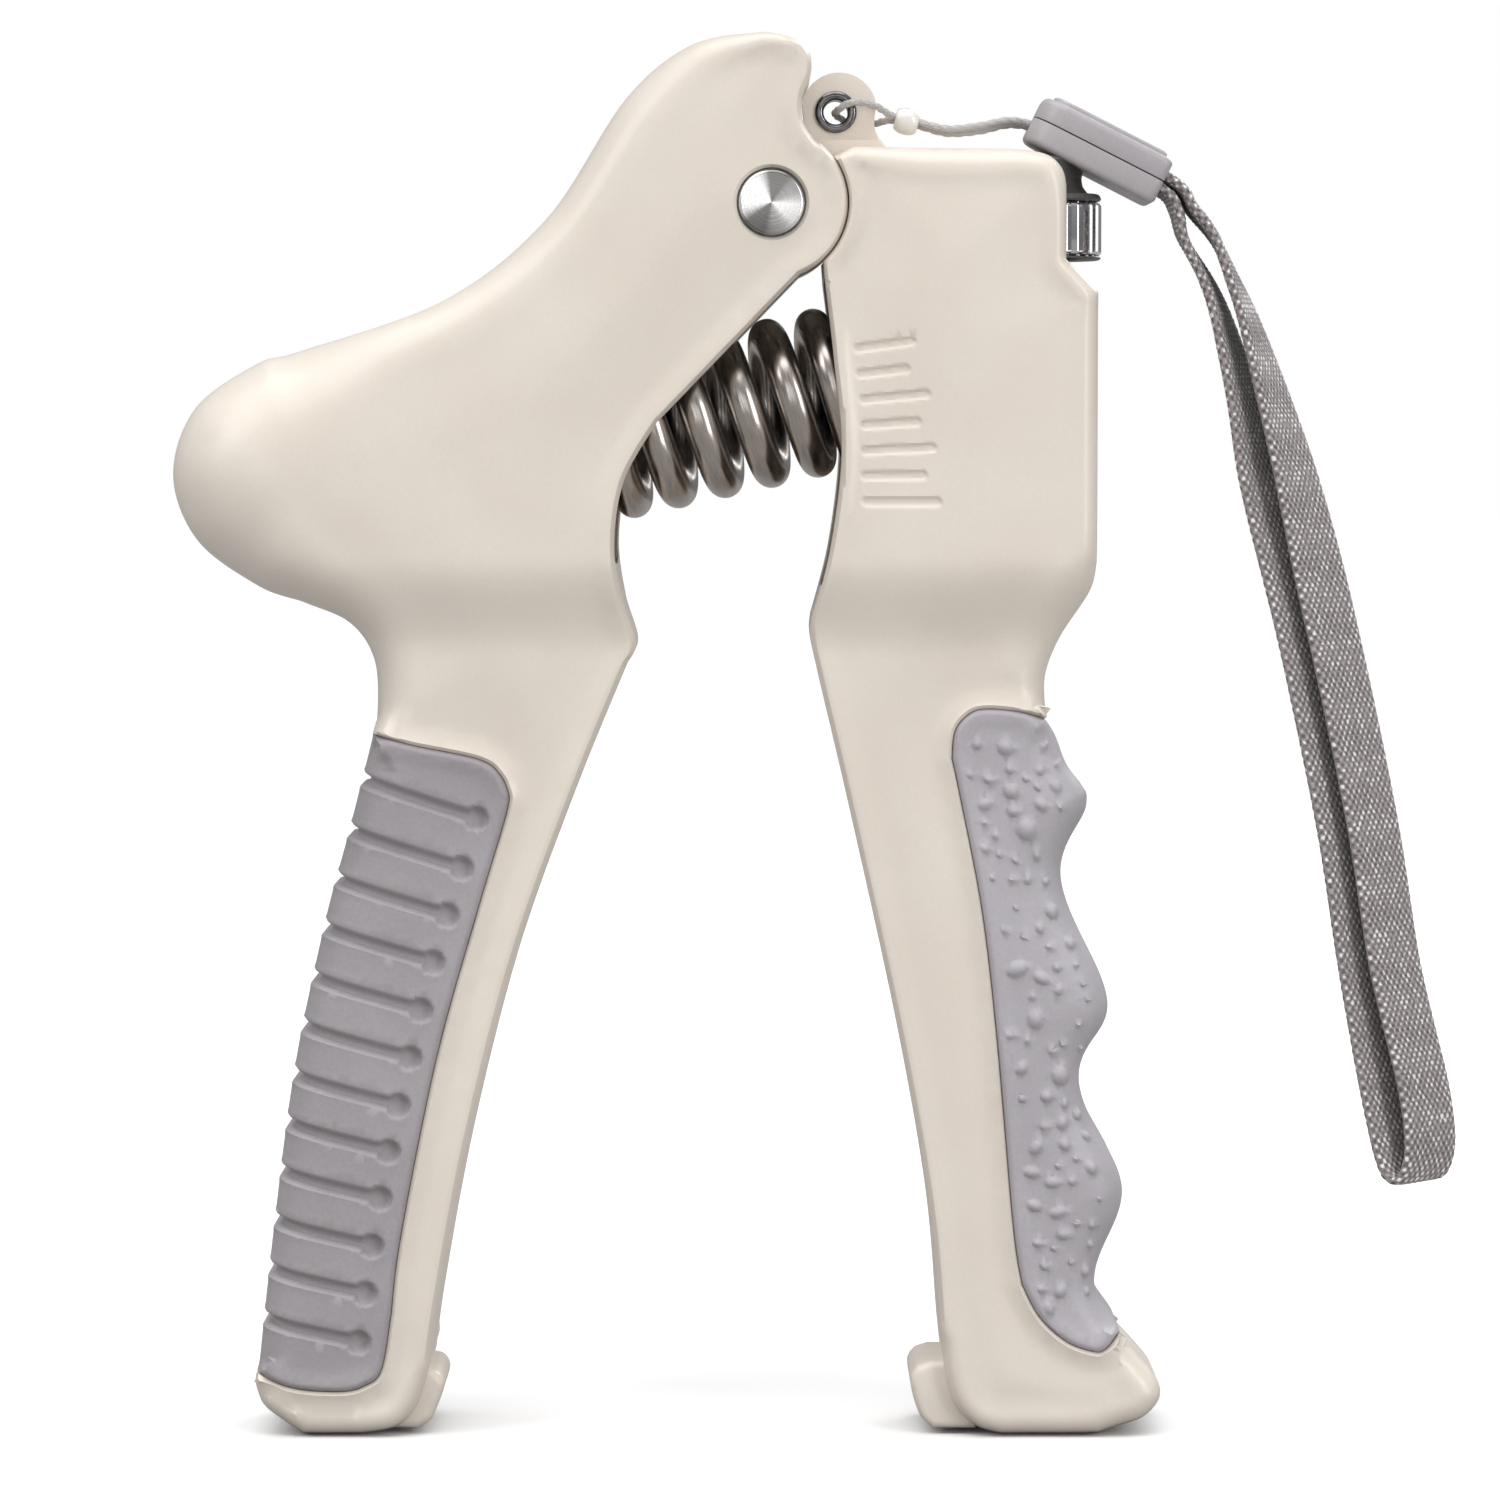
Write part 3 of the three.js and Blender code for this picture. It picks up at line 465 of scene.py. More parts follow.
def scatter(rims, fine=(), coarse=1.2):
    """Points inside the rims: rings over the rounded edges, fine patches, and an even filling."""
    taken = {}
    kept = []

    def offer(points, gap):
        for x, z in points:
            cell = (math.floor(x), math.floor(z))
            crowd = [
                q
                for i in (-1, 0, 1)
                for j in (-1, 0, 1)
                for q in taken.get((cell[0] + i, cell[1] + j), ())
            ]
            if any((x - q[0]) ** 2 + (z - q[1]) ** 2 < gap * gap for q in crowd):
                continue
            taken.setdefault(cell, []).append((x, z))
            kept.append((x, z))

    for rim in rims:
        offer(rim.rows[:, :2], 0)
    for patch, gap in fine:
        spots = np.array(patch)
        offer(spots[inside(spots, rims) & (rim_distance(spots, rims)[0] > 0.5 * gap)], gap * 0.8)
    for angle in np.radians([18, 36, 52, 66, 79, 90]):
        for rim in rims:
            reach = rim.rows[:, 2] * (1 - math.cos(angle))
            spots = rim.rows[:, :2] + rim.inward * reach[:, None]
            spots = spots[reach > 0.12]
            reach = reach[reach > 0.12]
            if len(spots):
                real = rim_distance(spots, rims)[0]
                good = inside(spots, rims) & (real > 0.93 * reach)
                offer(spots[good], 0.3)
    low = np.vstack([r.rows[:, :2] for r in rims]).min(axis=0)
    high = np.vstack([r.rows[:, :2] for r in rims]).max(axis=0)
    rows = []
    for j, z in enumerate(np.arange(low[1], high[1], coarse * 0.866)):
        rows += [(x + coarse / 2 * (j % 2), z) for x in np.arange(low[0], high[0], coarse)]
    spots = np.array(rows)
    spots = spots[inside(spots, rims)]
    offer(spots[rim_distance(spots, rims)[0] > 0.4], coarse * 0.62)
    return np.array(kept)


def moulded_skin(name, rims, half_depth, fine=(), coarse=1.2, crown=0.8, lip=0.25, back=False):
    """The front (or back) sheet of a moulded half: a crowned face, rounded edges and side walls."""
    spots = scatter(rims, fine, coarse)
    edges = []
    start = 0
    for rim in rims:
        n = len(rim.rows)
        edges += [(start + i, start + (i + 1) % n) for i in range(n)]
        start += n
    vectors = [Vector(p) for p in spots.tolist()]
    made, _, faces, origins, _, _ = delaunay_2d_cdt(vectors, edges, [], 0, 1e-5)
    made = np.array([tuple(v) for v in made])
    faces = np.array(faces)
    middles = made[faces].mean(axis=1)
    faces = faces[inside(middles, rims)]
    a, b, c = made[faces[:, 0]], made[faces[:, 1]], made[faces[:, 2]]
    turn = (b[:, 0] - a[:, 0]) * (c[:, 1] - a[:, 1]) - (b[:, 1] - a[:, 1]) * (c[:, 0] - a[:, 0])
    faces[turn < 0] = faces[turn < 0][:, ::-1]
    distance, radius = rim_distance(made, rims)
    radius = np.maximum(radius, 0.05)
    short = np.clip(radius - distance, 0, None)
    drop = radius - np.sqrt(np.maximum(radius**2 - short**2, 0))
    rise = rim_distance(made, rims[:1])[0]
    drop += crown * (1 - ease(0, 15, rise)) * ease(0, 1, rise / (radius + 1.5))
    height = half_depth(made[:, 0], made[:, 1]) - drop
    vertices = np.column_stack([made[:, 0], -height, made[:, 1]])
    place = {origin[0]: i for i, origin in enumerate(origins) if origin}
    walls, extra = [], []
    count = len(vertices)
    start = 0
    for rim in rims:
        n = len(rim.rows)
        top = [place[start + i] for i in range(n)]
        first = count + len(extra)
        for inset, rise in ((0.0, lip + 0.15), (lip * 0.6, 0.0)):
            for i in range(n):
                x, z = rim.rows[i, :2] + rim.inward[i] * inset
                y = min(height[top[i]] - 0.05, rim.rows[i, 3] + rise)
                extra.append((x, -y, z))
        for i in range(n):
            j = (i + 1) % n
            levels = [top, list(range(first, first + n)), list(range(first + n, first + 2 * n))]
            for upper, lower in zip(levels, levels[1:]):
                walls.append((upper[i], lower[i], lower[j], upper[j]))
        start += n
    vertices = np.vstack([vertices, np.array(extra)])
    polygons = [tuple(f) for f in faces] + walls
    if back:
        vertices = vertices * [1, -1, 1]
        polygons = [tuple(reversed(f)) for f in polygons]
    return piece(name, vertices, polygons)


def press(obj, relief):
    """Moves each vertex along its normal by relief(x, z), in millimetres."""
    mesh = obj.data
    count = len(mesh.vertices)
    places, normals = np.zeros(count * 3), np.zeros(count * 3)
    mesh.vertices.foreach_get("co", places)
    mesh.vertex_normals.foreach_get("vector", normals)
    places, normals = places.reshape(-1, 3), normals.reshape(-1, 3)
    amount = relief(places[:, 0] / MM, places[:, 2] / MM) * MM
    mesh.vertices.foreach_set("co", (places + normals * amount[:, None]).ravel())
    mesh.update()


def housing_depth(x, z):
    """Half depth of a handle: the deep upper body eases into the slimmer leg."""
    return LEG_HALF + (HOUSING_HALF - LEG_HALF) * ease(93.5, 104.5, z)


def patch_over(x0, x1, z0, z1, gap):
    xs, zs = np.meshgrid(np.arange(x0, x1, gap), np.arange(z0, z1, gap))
    return np.column_stack([xs.ravel(), zs.ravel()])


def bar_distance(x, z, start, end, half_width):
    """Signed distance to a bar with round ends; negative inside."""
    a, b = np.array(start), np.array(end)
    ab = b - a
    t = np.clip(((x - a[0]) * ab[0] + (z - a[1]) * ab[1]) / np.dot(ab, ab), 0, 1)
    return np.hypot(x - a[0] - ab[0] * t, z - a[1] - ab[1] * t) - half_width


# ---------------------------------------------------------------- handle outlines
NOSE = [[17.8, 153.4], [16.2, 155.8], [16, 158.8], [17.1, 162], [16.4, 165], [13.5, 166.2]]
LEFT_BACK = [
    [13.5, 166.2], [10.5, 166.4], [2.8, 165], [-4.8, 158.8], [-14.3, 144.6], [-26.6, 135],
    [-43.7, 129.2], [-48.9, 127.7], [-56.3, 122.4], [-59, 114.4], [-56.1, 106.6], [-48.8, 101.2],
    [-42.9, 99.2], [-37.6, 96.8], [-34.8, 92.2], [-34.5, 85.4],
]
PALM_TOP = [[-34.9, 83.9], [-30.1, 82.6], [-22.1, 80.9], [-19.6, 79], [-18.7, 77]]
PALM_INNER = [[-18.7, 77], [-18.9, 74.6], [-22.4, 62.9], [-27.3, 45.4], [-31.6, 24.2], [-32.8, 14.8]]
PALM_FOOT = [[-32.8, 14.8], [-34, 8], [-36, 6.1], [-38.9, 5.4], [-44.5, 5.8], [-49, 7.6]]
PALM_OUTER = [[-34.9, 83.9], [-38, 71.8], [-40.8, 61.4], [-44.5, 44], [-47, 25.6], [-49, 7.6]]
LEFT_TOE = [[-49.2, 6.6], [-48.9, 5], [-47.9, 3.1], [-44.1, 0.4], [-43, 0], [-37.5, 0], [-36, 0.1]]
LEFT_HEEL = [[-36, 0.1], [-32.2, 1], [-29.9, 3.6], [-28.5, 7.7]]
LEFT_LEG = [[-28.5, 7.7], [-27.3, 16.3], [-23.7, 35.3], [-18.2, 56.8], [-11.1, 76.6], [-4.7, 92.2]]
LEFT_KNEE = [[-4.7, 92.2], [-3.7, 94.6], [-5.3, 100], [-6.1, 106.6], [-4.9, 114], [-1, 120.8]]

WINDOW = [[18.7, 137.4], [19.8, 128], [20.7, 117.4], [19.4, 106], [17.2, 97.5]]
RIGHT_LEG = [[17.2, 97.5], [17.1, 95.2], [18.2, 90], [21.9, 74.2], [27.7, 47.8], [31.3, 27.4], [32.7, 11.8]]
RIGHT_HEEL = [[32.7, 11.8], [33.3, 7], [34.5, 3.4], [36.9, 1], [39.9, 0]]
RIGHT_TOE = [[51.5, 0], [53.5, 0.7], [56.9, 1.9], [58.8, 4], [58.7, 6.2], [56.7, 8.8], [54.4, 11.2]]
FINGER_FOOT = [[42.3, 18.2], [44.4, 14.3], [47.6, 11.4], [50.8, 10.2], [52.3, 10.5], [54.1, 12.4]]
FINGER_INNER = [[33.8, 81], [34.7, 76.9], [37.4, 63], [39.2, 47.8], [41.2, 25.3], [42.3, 18.2]]
FINGER_TOP = [[44.9, 85.6], [42, 86.5], [38.5, 86.9], [36.1, 86.5], [34.2, 84.4], [33.8, 81]]
FINGER_WAVES = [
    [54.1, 12.4], [52.5, 18.2], [54.4, 29.4], [50.5, 42.3], [52.6, 51.7], [48.3, 66.7],
    [50, 75.3], [49.6, 77.6], [47.8, 80.4], [46, 84], [44.9, 85.6],
]
RIGHT_SADDLE = [[45.2, 85.8], [45, 87.4], [45.1, 91], [46.8, 95.3], [50.2, 100.8], [50.9, 104.2]]
LEFT_SCREWS = [[-6, 147], [-47, 114], [-16, 96.5], [-19.8, 62], [-31, 10.2]]
RIGHT_SCREWS = [[26, 145.3], [31.4, 145.3], [27, 95.5], [31, 58], [37.5, 14]]


def hole(x, z, radius, edge, wall):
    """A round hole's rim, run clockwise so that the material lies on its left."""
    turn = arc((x, z), radius, 360, 0, 0.4)[:-1]
    return Rim((turn, edge, wall), step=0.4, blend=0)


def cheek(z):
    """Where a wall ends in the left head: at the channel below, at the tongue's slot above."""
    return 11.2 if z < 137.5 else 5.9


def back_edge(x, z):
    """Edge radius down the left handle's back: fine at the nose, widest round the palm horn."""
    return 1.5 + 4.5 * ease(15, -4, x) + 5.5 * ease(-30, -46, x) * ease(97, 103, z)


def left_rims(back):
    border = np.vstack([spline(PALM_TOP), spline(PALM_INNER), spline(PALM_FOOT)])
    outer = Rim(
        (arc(PIVOT, 9, -68, 50), 1.1, 5.9),
        (spline(NOSE), 1.4, 5.9),
        (spline(LEFT_BACK), back_edge, SEAM),
        (border, 0.5, BORDER),
        (spline(LEFT_TOE), 3, SEAM),
        (spline(LEFT_HEEL), 2.6, SEAM),
        (spline(LEFT_LEG), 1.5, SEAM),
        (spline(LEFT_KNEE), 1.3, lambda z: cheek(z) if z > 104 else SEAM),
        (straight([[-1, 120.8], [15.79, 138.18]]), 1.2, cheek),
    )
    rims = [outer, hole(*PIVOT, 4.1, 0.45, 12.3)]
    if back:
        rims += [hole(x, z, 2.4, 0.3, screw_face(z) - 2.6) for x, z in LEFT_SCREWS]
    return rims


def screw_face(z):
    return HOUSING_HALF if z > 100 else LEG_HALF


def right_rims(back):
    border = np.vstack([spline(FINGER_FOOT)[::-1], spline(FINGER_INNER)[::-1], spline(FINGER_TOP)[::-1]])
    outer = Rim(
        (arc(PIVOT, 9.14, 36, -48), 0.9, 4.9),
        (spline(WINDOW), 1.2, lambda z: 11.2 if z > 101.5 else SEAM),
        (spline(RIGHT_LEG), 1.5, SEAM),
        (spline(RIGHT_HEEL), 2.6, SEAM),
        (straight([[39.9, 0], [51.5, 0]]), 3, SEAM),
        (spline(RIGHT_TOE), 3.4, SEAM),
        (border, 0.5, BORDER),
        (spline(RIGHT_SADDLE), 5, SEAM),
        (straight([[50.9, 104.2], [50.9, 136]]), 3, SEAM),
        (straight([[50.9, 136], [47.1, 139.9], [47.1, 148.6]]), 2.2, 8.4),
        (spline([[47.1, 148.6], [46.7, 150.4], [45.4, 151.9], [43.3, 152.6], [39.9, 152.9]]), 3, 6.6),
        (straight([[39.9, 152.9], [26.6, 153.05]]), 3.5, SEAM),
        (straight([[26.6, 153.05], [22, 153.1]]), 2.6, 4.9),
    )
    rims = [outer]
    if back:
        rims += [hole(x, z, 2.4, 0.3, screw_face(z) - 2.6) for x, z in RIGHT_SCREWS]
    return rims


def scale_slots():
    """Start and end of each sunk bar of the strength scale, from the lowest up."""
    lengths = [9.3, 7.7, 8.8, 7.1, 8.3, 6.3, 7.3]
    starts = [23.1, 23.0, 23.0, 22.9, 22.8, 22.4, 22.1]
    bars = []
    for i, (first, length) in enumerate(zip(starts, lengths)):
        rise = math.radians(1.3 * i)
        start = np.array([first + 0.5, 111.4 + 3 * i])
        bars.append((start, start + (length - 1.0) * np.array([math.cos(rise), math.sin(rise)])))
    return bars


def scale_relief(x, z):
    depth = np.zeros_like(x)
    for start, end in scale_slots():
        gap = bar_distance(x, z, start, end, 0.52)
        depth -= 0.3 * (1 - ease(-0.22, 0.16, gap))
    return depth


def shell(name, rims, back, relief=None, fine=()):
    """A moulded half with its wall, which thins out round the screw wells."""
    obj = moulded_skin(name, rims, housing_depth, fine=fine, back=back)
    if relief:
        press(obj, relief)
    full = obj.vertex_groups.new(name="full wall")
    wells = [rim.rows[:, :2].mean(axis=0) for rim in rims[1:]]
    for v in obj.data.vertices:
        near = any(math.hypot(v.co.x / MM - x, v.co.z / MM - z) < 3.1 for x, z in wells)
        full.add([v.index], 0.35 if near else 1.0, "REPLACE")
    apply_modifier(obj, "SOLIDIFY", thickness=1.3 * MM, offset=-1, vertex_group="full wall")
    obj.vertex_groups.clear()
    return obj


# ---------------------------------------------------------------- soft grips
KEYHOLES = [
    (-22.5, 73.9), (-24.3, 68.0), (-26.0, 62.4), (-27.7, 56.8), (-29.2, 51.1), (-30.5, 45.4),
    (-31.9, 39.7), (-33.1, 34.2), (-34.1, 28.6), (-35.1, 22.9), (-35.9, 17.2), (-36.7, 11.4),
]


def palm_relief(x, z):
    """Twelve keyhole grooves, each a round well with a slot running out over the edge."""
    gap = np.full(x.shape, 9.0)
    for i, (cx, cz) in enumerate(KEYHOLES):
        rise = math.radians(18 - 6 * i / 11)
        far = (cx - 20 * math.cos(rise), cz + 20 * math.sin(rise))
        gap = np.minimum(gap, bar_distance(x, z, (cx, cz), far, 0.62))
        gap = np.minimum(gap, np.hypot(x - cx, z - cz) - 1.28)
    return -1.05 * (1 - ease(-0.3, 0.28, gap)) + 0.06 * np.exp(-((gap - 0.5) / 0.3) ** 2)


def palm_fine():
    rows = []
    for i, (cx, cz) in enumerate(KEYHOLES):
        rise = math.radians(18 - 6 * i / 11)
        along = np.arange(-1.9, 18, 0.34)
        across = np.arange(-1.9, 1.95, 0.3)
        s, t = np.meshgrid(along, across)
        s, t = s.ravel(), t.ravel()
        near = (s < 1.9) | (np.abs(t) < 1.25)
        s, t = s[near], t[near]
        rows.append(
            np.column_stack(
                [
                    cx - s * math.cos(rise) + t * math.sin(rise),
                    cz + s * math.sin(rise) + t * math.cos(rise),
                ]
            )
        )
    return [(np.vstack(rows), 0.3)]


def palm_depth(x, z):
    return np.full(x.shape, GRIP_HALF)


def soft_grip(name, rims, half_depth, relief, fine, coarse):
    """Front and back of a soft grip, joined round the outside and open towards its rib."""
    front = moulded_skin(name, rims, half_depth, fine=fine, coarse=coarse, crown=0.5, lip=0.0)
    press(front, relief)
    take(front)
    bpy.ops.object.duplicate()
    rear = bpy.context.object
    bpy.ops.transform.resize(value=(1, -1, 1), center_override=(0, 0, 0))
    settle(rear)
    edit(rear)
    bpy.ops.mesh.flip_normals()
    leave_edit()
    take(rear)
    front.select_set(True)
    bpy.context.view_layer.objects.active = front
    bpy.ops.object.join()
    edit(front)
    bpy.ops.mesh.remove_doubles(threshold=0.02 * MM)
    leave_edit()
    apply_modifier(front, "SOLIDIFY", thickness=1.4 * MM, offset=-1)
    return front


def palm_grip():
    rim = Rim(
        (spline(PALM_OUTER, 0.3), 5.5, 0.0),
        (spline(PALM_FOOT)[::-1], 0.9, BORDER),
        (spline(PALM_INNER)[::-1], 0.9, BORDER),
        (spline(PALM_TOP)[::-1], 0.9, BORDER),
        step=0.32,
        blend=2.5,
    )
    return soft_grip("palm_grip_skin", [rim], palm_depth, palm_relief, palm_fine(), 0.9)


def finger_phase(z):
    """1 at the crest of each finger wave and 0 in each valley."""
    z = np.asarray(z, float)
    knots = [12.0, 18.2, 29.4, 42.3, 51.7, 66.7, 75.3, 83.0]
    values = [0.5, 0.0, 1.0, 0.0, 1.0, 0.0, 1.0, 0.55]
    out = np.full(z.shape, 0.5)
    for a, b, va, vb in zip(knots, knots[1:], values, values[1:]):
        within = (z >= a) & (z <= b)
        out[within] = va + (vb - va) * ease(a, b, z[within])
    return out


def finger_across(x, z):
    """0 at the inner border of the finger grip, 1 at its crests."""
    inner = np.array(FINGER_INNER[::-1])
    left = np.interp(z, inner[:, 1], inner[:, 0])
    right = np.interp(z, [12, 30, 52, 76, 86], [54.4, 54.2, 52.4, 49.8, 45.2])
    return np.clip((x - left) / (right - left), 0, 1.1)


def droplets():
    """Scattered droplet-like pimples: centre, half width, half length, turn and height."""
    rng = np.random.default_rng(11)
    found = []
    for _ in range(9000):
        z = rng.uniform(15.5, 84.0)
        u = rng.uniform(0.06, 0.9)
        inner = np.array(FINGER_INNER[::-1])
        left = np.interp(z, inner[:, 1], inner[:, 0])
        heights = [12, 18.2, 30, 42.3, 52, 66.7, 76, 86]
        right = np.interp(z, heights, [54, 52.2, 54.2, 50.3, 52.4, 48.2, 49.8, 45])
        x = left + (right - left) * u
        size = rng.choice([0.34, 0.5, 0.7, 0.95, 1.25], p=[0.28, 0.3, 0.22, 0.14, 0.06])
        long = size * rng.uniform(1.0, 1.55)
        if x - left < long + 0.9 or right - x < long + 1.0:
            continue
        if all(math.hypot(x - q[0], z - q[1]) > (long + q[3]) * 0.82 + 0.9 for q in found):
            found.append((x, z, size, long, rng.uniform(0, math.pi), 0.3 + 0.42 * size))
        if len(found) == 82:
            break
    return found


DROPLETS = droplets()


def finger_relief(x, z):
    fade = ease(12, 18, z) * (1 - ease(78, 84, z))
    rise = -1.5 * fade * (1 - finger_phase(z)) * ease(0.15, 1.0, finger_across(x, z))
    for cx, cz, wide, long, turn, high in DROPLETS:
        u = (x - cx) * math.cos(turn) + (z - cz) * math.sin(turn)
        v = -(x - cx) * math.sin(turn) + (z - cz) * math.cos(turn)
        q = (u / long) ** 2 + (v / wide) ** 2
        rise = rise + high * np.clip(1 - q, 0, 1) ** 0.75
    return rise


def finger_fine():
    rows = []
    for cx, cz, _, long, _, _ in DROPLETS:
        rows.append(patch_over(cx - long, cx + long, cz - long, cz + long, 0.24))
    return [(np.vstack(rows), 0.22)]


def finger_depth(x, z):
    return np.full(x.shape, GRIP_HALF)


def finger_grip():
    rim = Rim(
        (spline(FINGER_TOP), 0.9, BORDER),
        (spline(FINGER_INNER), 0.9, BORDER),
        (spline(FINGER_FOOT), 0.9, BORDER),
        (spline(FINGER_WAVES), 5.0, 0.0),
        step=0.45,
        blend=2.5,
    )
    return soft_grip("finger_grip_skin", [rim], finger_depth, finger_relief, finger_fine(), 0.8)


# ---------------------------------------------------------------- material groups
def group(name, inputs, outputs):
    tree = bpy.data.node_groups.new(name, "ShaderNodeTree")
    for label, kind, value in inputs:
        socket = tree.interface.new_socket(label, in_out="INPUT", socket_type=kind)
        if value is not None:
            socket.default_value = value
    for label, kind in outputs:
        tree.interface.new_socket(label, in_out="OUTPUT", socket_type=kind)
    return tree, tree.nodes.new("NodeGroupInput"), tree.nodes.new("NodeGroupOutput")


def node(tree, kind, settings=None, **inputs):
    """Adds a node, sets its fields and values, and links what is given as a socket."""
    made = tree.nodes.new(kind)
    for field, value in (settings or {}).items():
        setattr(made, field, value)
    for label, value in inputs.items():
        key = int(label[1:]) if label[0] == "_" else label.replace("_", " ")
        if isinstance(value, bpy.types.NodeSocket):
            tree.links.new(value, made.inputs[key])
        else:
            made.inputs[key].default_value = value
    return made


def math_node(tree, operation, *values, clamp=False):
    made = tree.nodes.new("ShaderNodeMath")
    made.operation = operation
    made.use_clamp = clamp
    for i, value in enumerate(values):
        if isinstance(value, bpy.types.NodeSocket):
            tree.links.new(value, made.inputs[i])
        else:
            made.inputs[i].default_value = value
    return made.outputs[0]


def moulded_grain_group():
    """Fine moulded grain with broad soft mottling: a mask, a roughness and a height."""
    tree, enter, leave = group(
        "moulded grain",
        [("Vector", "NodeSocketVector", None), ("Grain", "NodeSocketFloat", 2600.0),
         ("Mottle", "NodeSocketFloat", 60.0), ("Roughness", "NodeSocketFloat", 0.4),
         ("Spread", "NodeSocketFloat", 0.1)],
        [("Mask", "NodeSocketFloat"), ("Roughness", "NodeSocketFloat"), ("Height", "NodeSocketFloat")],
    )
    ins = enter.outputs
    fine = node(tree, "ShaderNodeTexNoise", Vector=ins["Vector"], Scale=ins["Grain"], Detail=4.0)
    broad = node(tree, "ShaderNodeTexNoise", Vector=ins["Vector"], Scale=ins["Mottle"], Detail=3.0)
    centred = math_node(tree, "SUBTRACT", broad.outputs["Fac"], 0.5)
    spread = math_node(tree, "MULTIPLY", centred, ins["Spread"])
    speck = math_node(tree, "MULTIPLY", math_node(tree, "SUBTRACT", fine.outputs["Fac"], 0.5), 0.12)
    rough = math_node(tree, "ADD", math_node(tree, "ADD", spread, speck), ins["Roughness"], clamp=True)
    patches = math_node(tree, "MULTIPLY", broad.outputs["Fac"], 0.65)
    mask = math_node(tree, "MULTIPLY_ADD", fine.outputs["Fac"], 0.35, patches)
    tree.links.new(mask, leave.inputs["Mask"])
    tree.links.new(rough, leave.inputs["Roughness"])
    tree.links.new(fine.outputs["Fac"], leave.inputs["Height"])
    return tree


def edge_wear_group():
    """Where corners stand proud: a soft mask from the surface's own curvature."""
    tree, enter, leave = group(
        "proud edges",
        [("Amount", "NodeSocketFloat", 1.0)],
        [("Mask", "NodeSocketFloat")],
    )
    geometry = tree.nodes.new("ShaderNodeNewGeometry")
    proud = math_node(tree, "SUBTRACT", geometry.outputs["Pointiness"], 0.505)
    scaled = math_node(tree, "MULTIPLY", proud, 14.0, clamp=True)
    out = math_node(tree, "MULTIPLY", scaled, enter.outputs["Amount"], clamp=True)
    tree.links.new(out, leave.inputs["Mask"])
    return tree


def drawn_metal_group():
    """Fine streaks left by drawing, turning or brushing, stretched along one direction."""
    tree, enter, leave = group(
        "drawn metal",
        [("Vector", "NodeSocketVector", None), ("Scale", "NodeSocketFloat", 900.0),
         ("Roughness", "NodeSocketFloat", 0.25), ("Spread", "NodeSocketFloat", 0.15)],
        [("Mask", "NodeSocketFloat"), ("Roughness", "NodeSocketFloat"), ("Height", "NodeSocketFloat")],
    )
    ins = enter.outputs
    streak = node(tree, "ShaderNodeTexNoise", Vector=ins["Vector"], Scale=ins["Scale"], Detail=3.0)
    smudge = node(tree, "ShaderNodeTexNoise", Vector=ins["Vector"], Scale=90.0, Detail=2.0)
    smudges = math_node(tree, "MULTIPLY", smudge.outputs["Fac"], 0.3)
    mixed = math_node(tree, "MULTIPLY_ADD", streak.outputs["Fac"], 0.7, smudges)
    centred = math_node(tree, "SUBTRACT", mixed, 0.5)
    rough = math_node(tree, "MULTIPLY_ADD", centred, ins["Spread"], ins["Roughness"], clamp=True)
    tree.links.new(mixed, leave.inputs["Mask"])
    tree.links.new(rough, leave.inputs["Roughness"])
    tree.links.new(streak.outputs["Fac"], leave.inputs["Height"])
    return tree


GRAIN = moulded_grain_group()
WEAR = edge_wear_group()
DRAWN = drawn_metal_group()


def linear(colour):
    """A 0-255 screen colour as the shader's linear value."""
    rows = [c / 255 for c in colour]
    rows = [c / 12.92 if c <= 0.04045 else ((c + 0.055) / 1.055) ** 2.4 for c in rows]
    return (*rows, 1.0)


def new_material(name):
    material = bpy.data.materials.new(name)
    material.use_nodes = True
    tree = material.node_tree
    shader = tree.nodes["Principled BSDF"]
    place = tree.nodes.new("ShaderNodeTexCoord")
    return material, tree, shader, place


def placed(tree, tree_group, **values):
    made = tree.nodes.new("ShaderNodeGroup")
    made.node_tree = tree_group
    for label, value in values.items():
        if isinstance(value, bpy.types.NodeSocket):
            tree.links.new(value, made.inputs[label])
        else:
            made.inputs[label].default_value = value
    return made


def blended(tree, mask, dark, light, low=0.35, high=0.65):
    ramp = tree.nodes.new("ShaderNodeValToRGB")
    ramp.color_ramp.elements[0].position = low
    ramp.color_ramp.elements[0].color = linear(dark)
    ramp.color_ramp.elements[1].position = high
    ramp.color_ramp.elements[1].color = linear(light)
    tree.links.new(mask, ramp.inputs["Fac"])
    return ramp.outputs["Color"]


def overlaid(tree, mask, base, colour, strength):
    amount = math_node(tree, "MULTIPLY", mask, strength, clamp=True)
    mix = tree.nodes.new("ShaderNodeMix")
    mix.data_type = "RGBA"
    tree.links.new(amount, mix.inputs["Factor"])
    tree.links.new(base, mix.inputs["A"])
    mix.inputs["B"].default_value = linear(colour)
    return mix.outputs["Result"]


def bumped(tree, shader, height, strength, distance):
    bump = tree.nodes.new("ShaderNodeBump")
    bump.inputs["Strength"].default_value = strength
    bump.inputs["Distance"].default_value = distance
    tree.links.new(height, bump.inputs["Height"])
    tree.links.new(bump.outputs["Normal"], shader.inputs["Normal"])


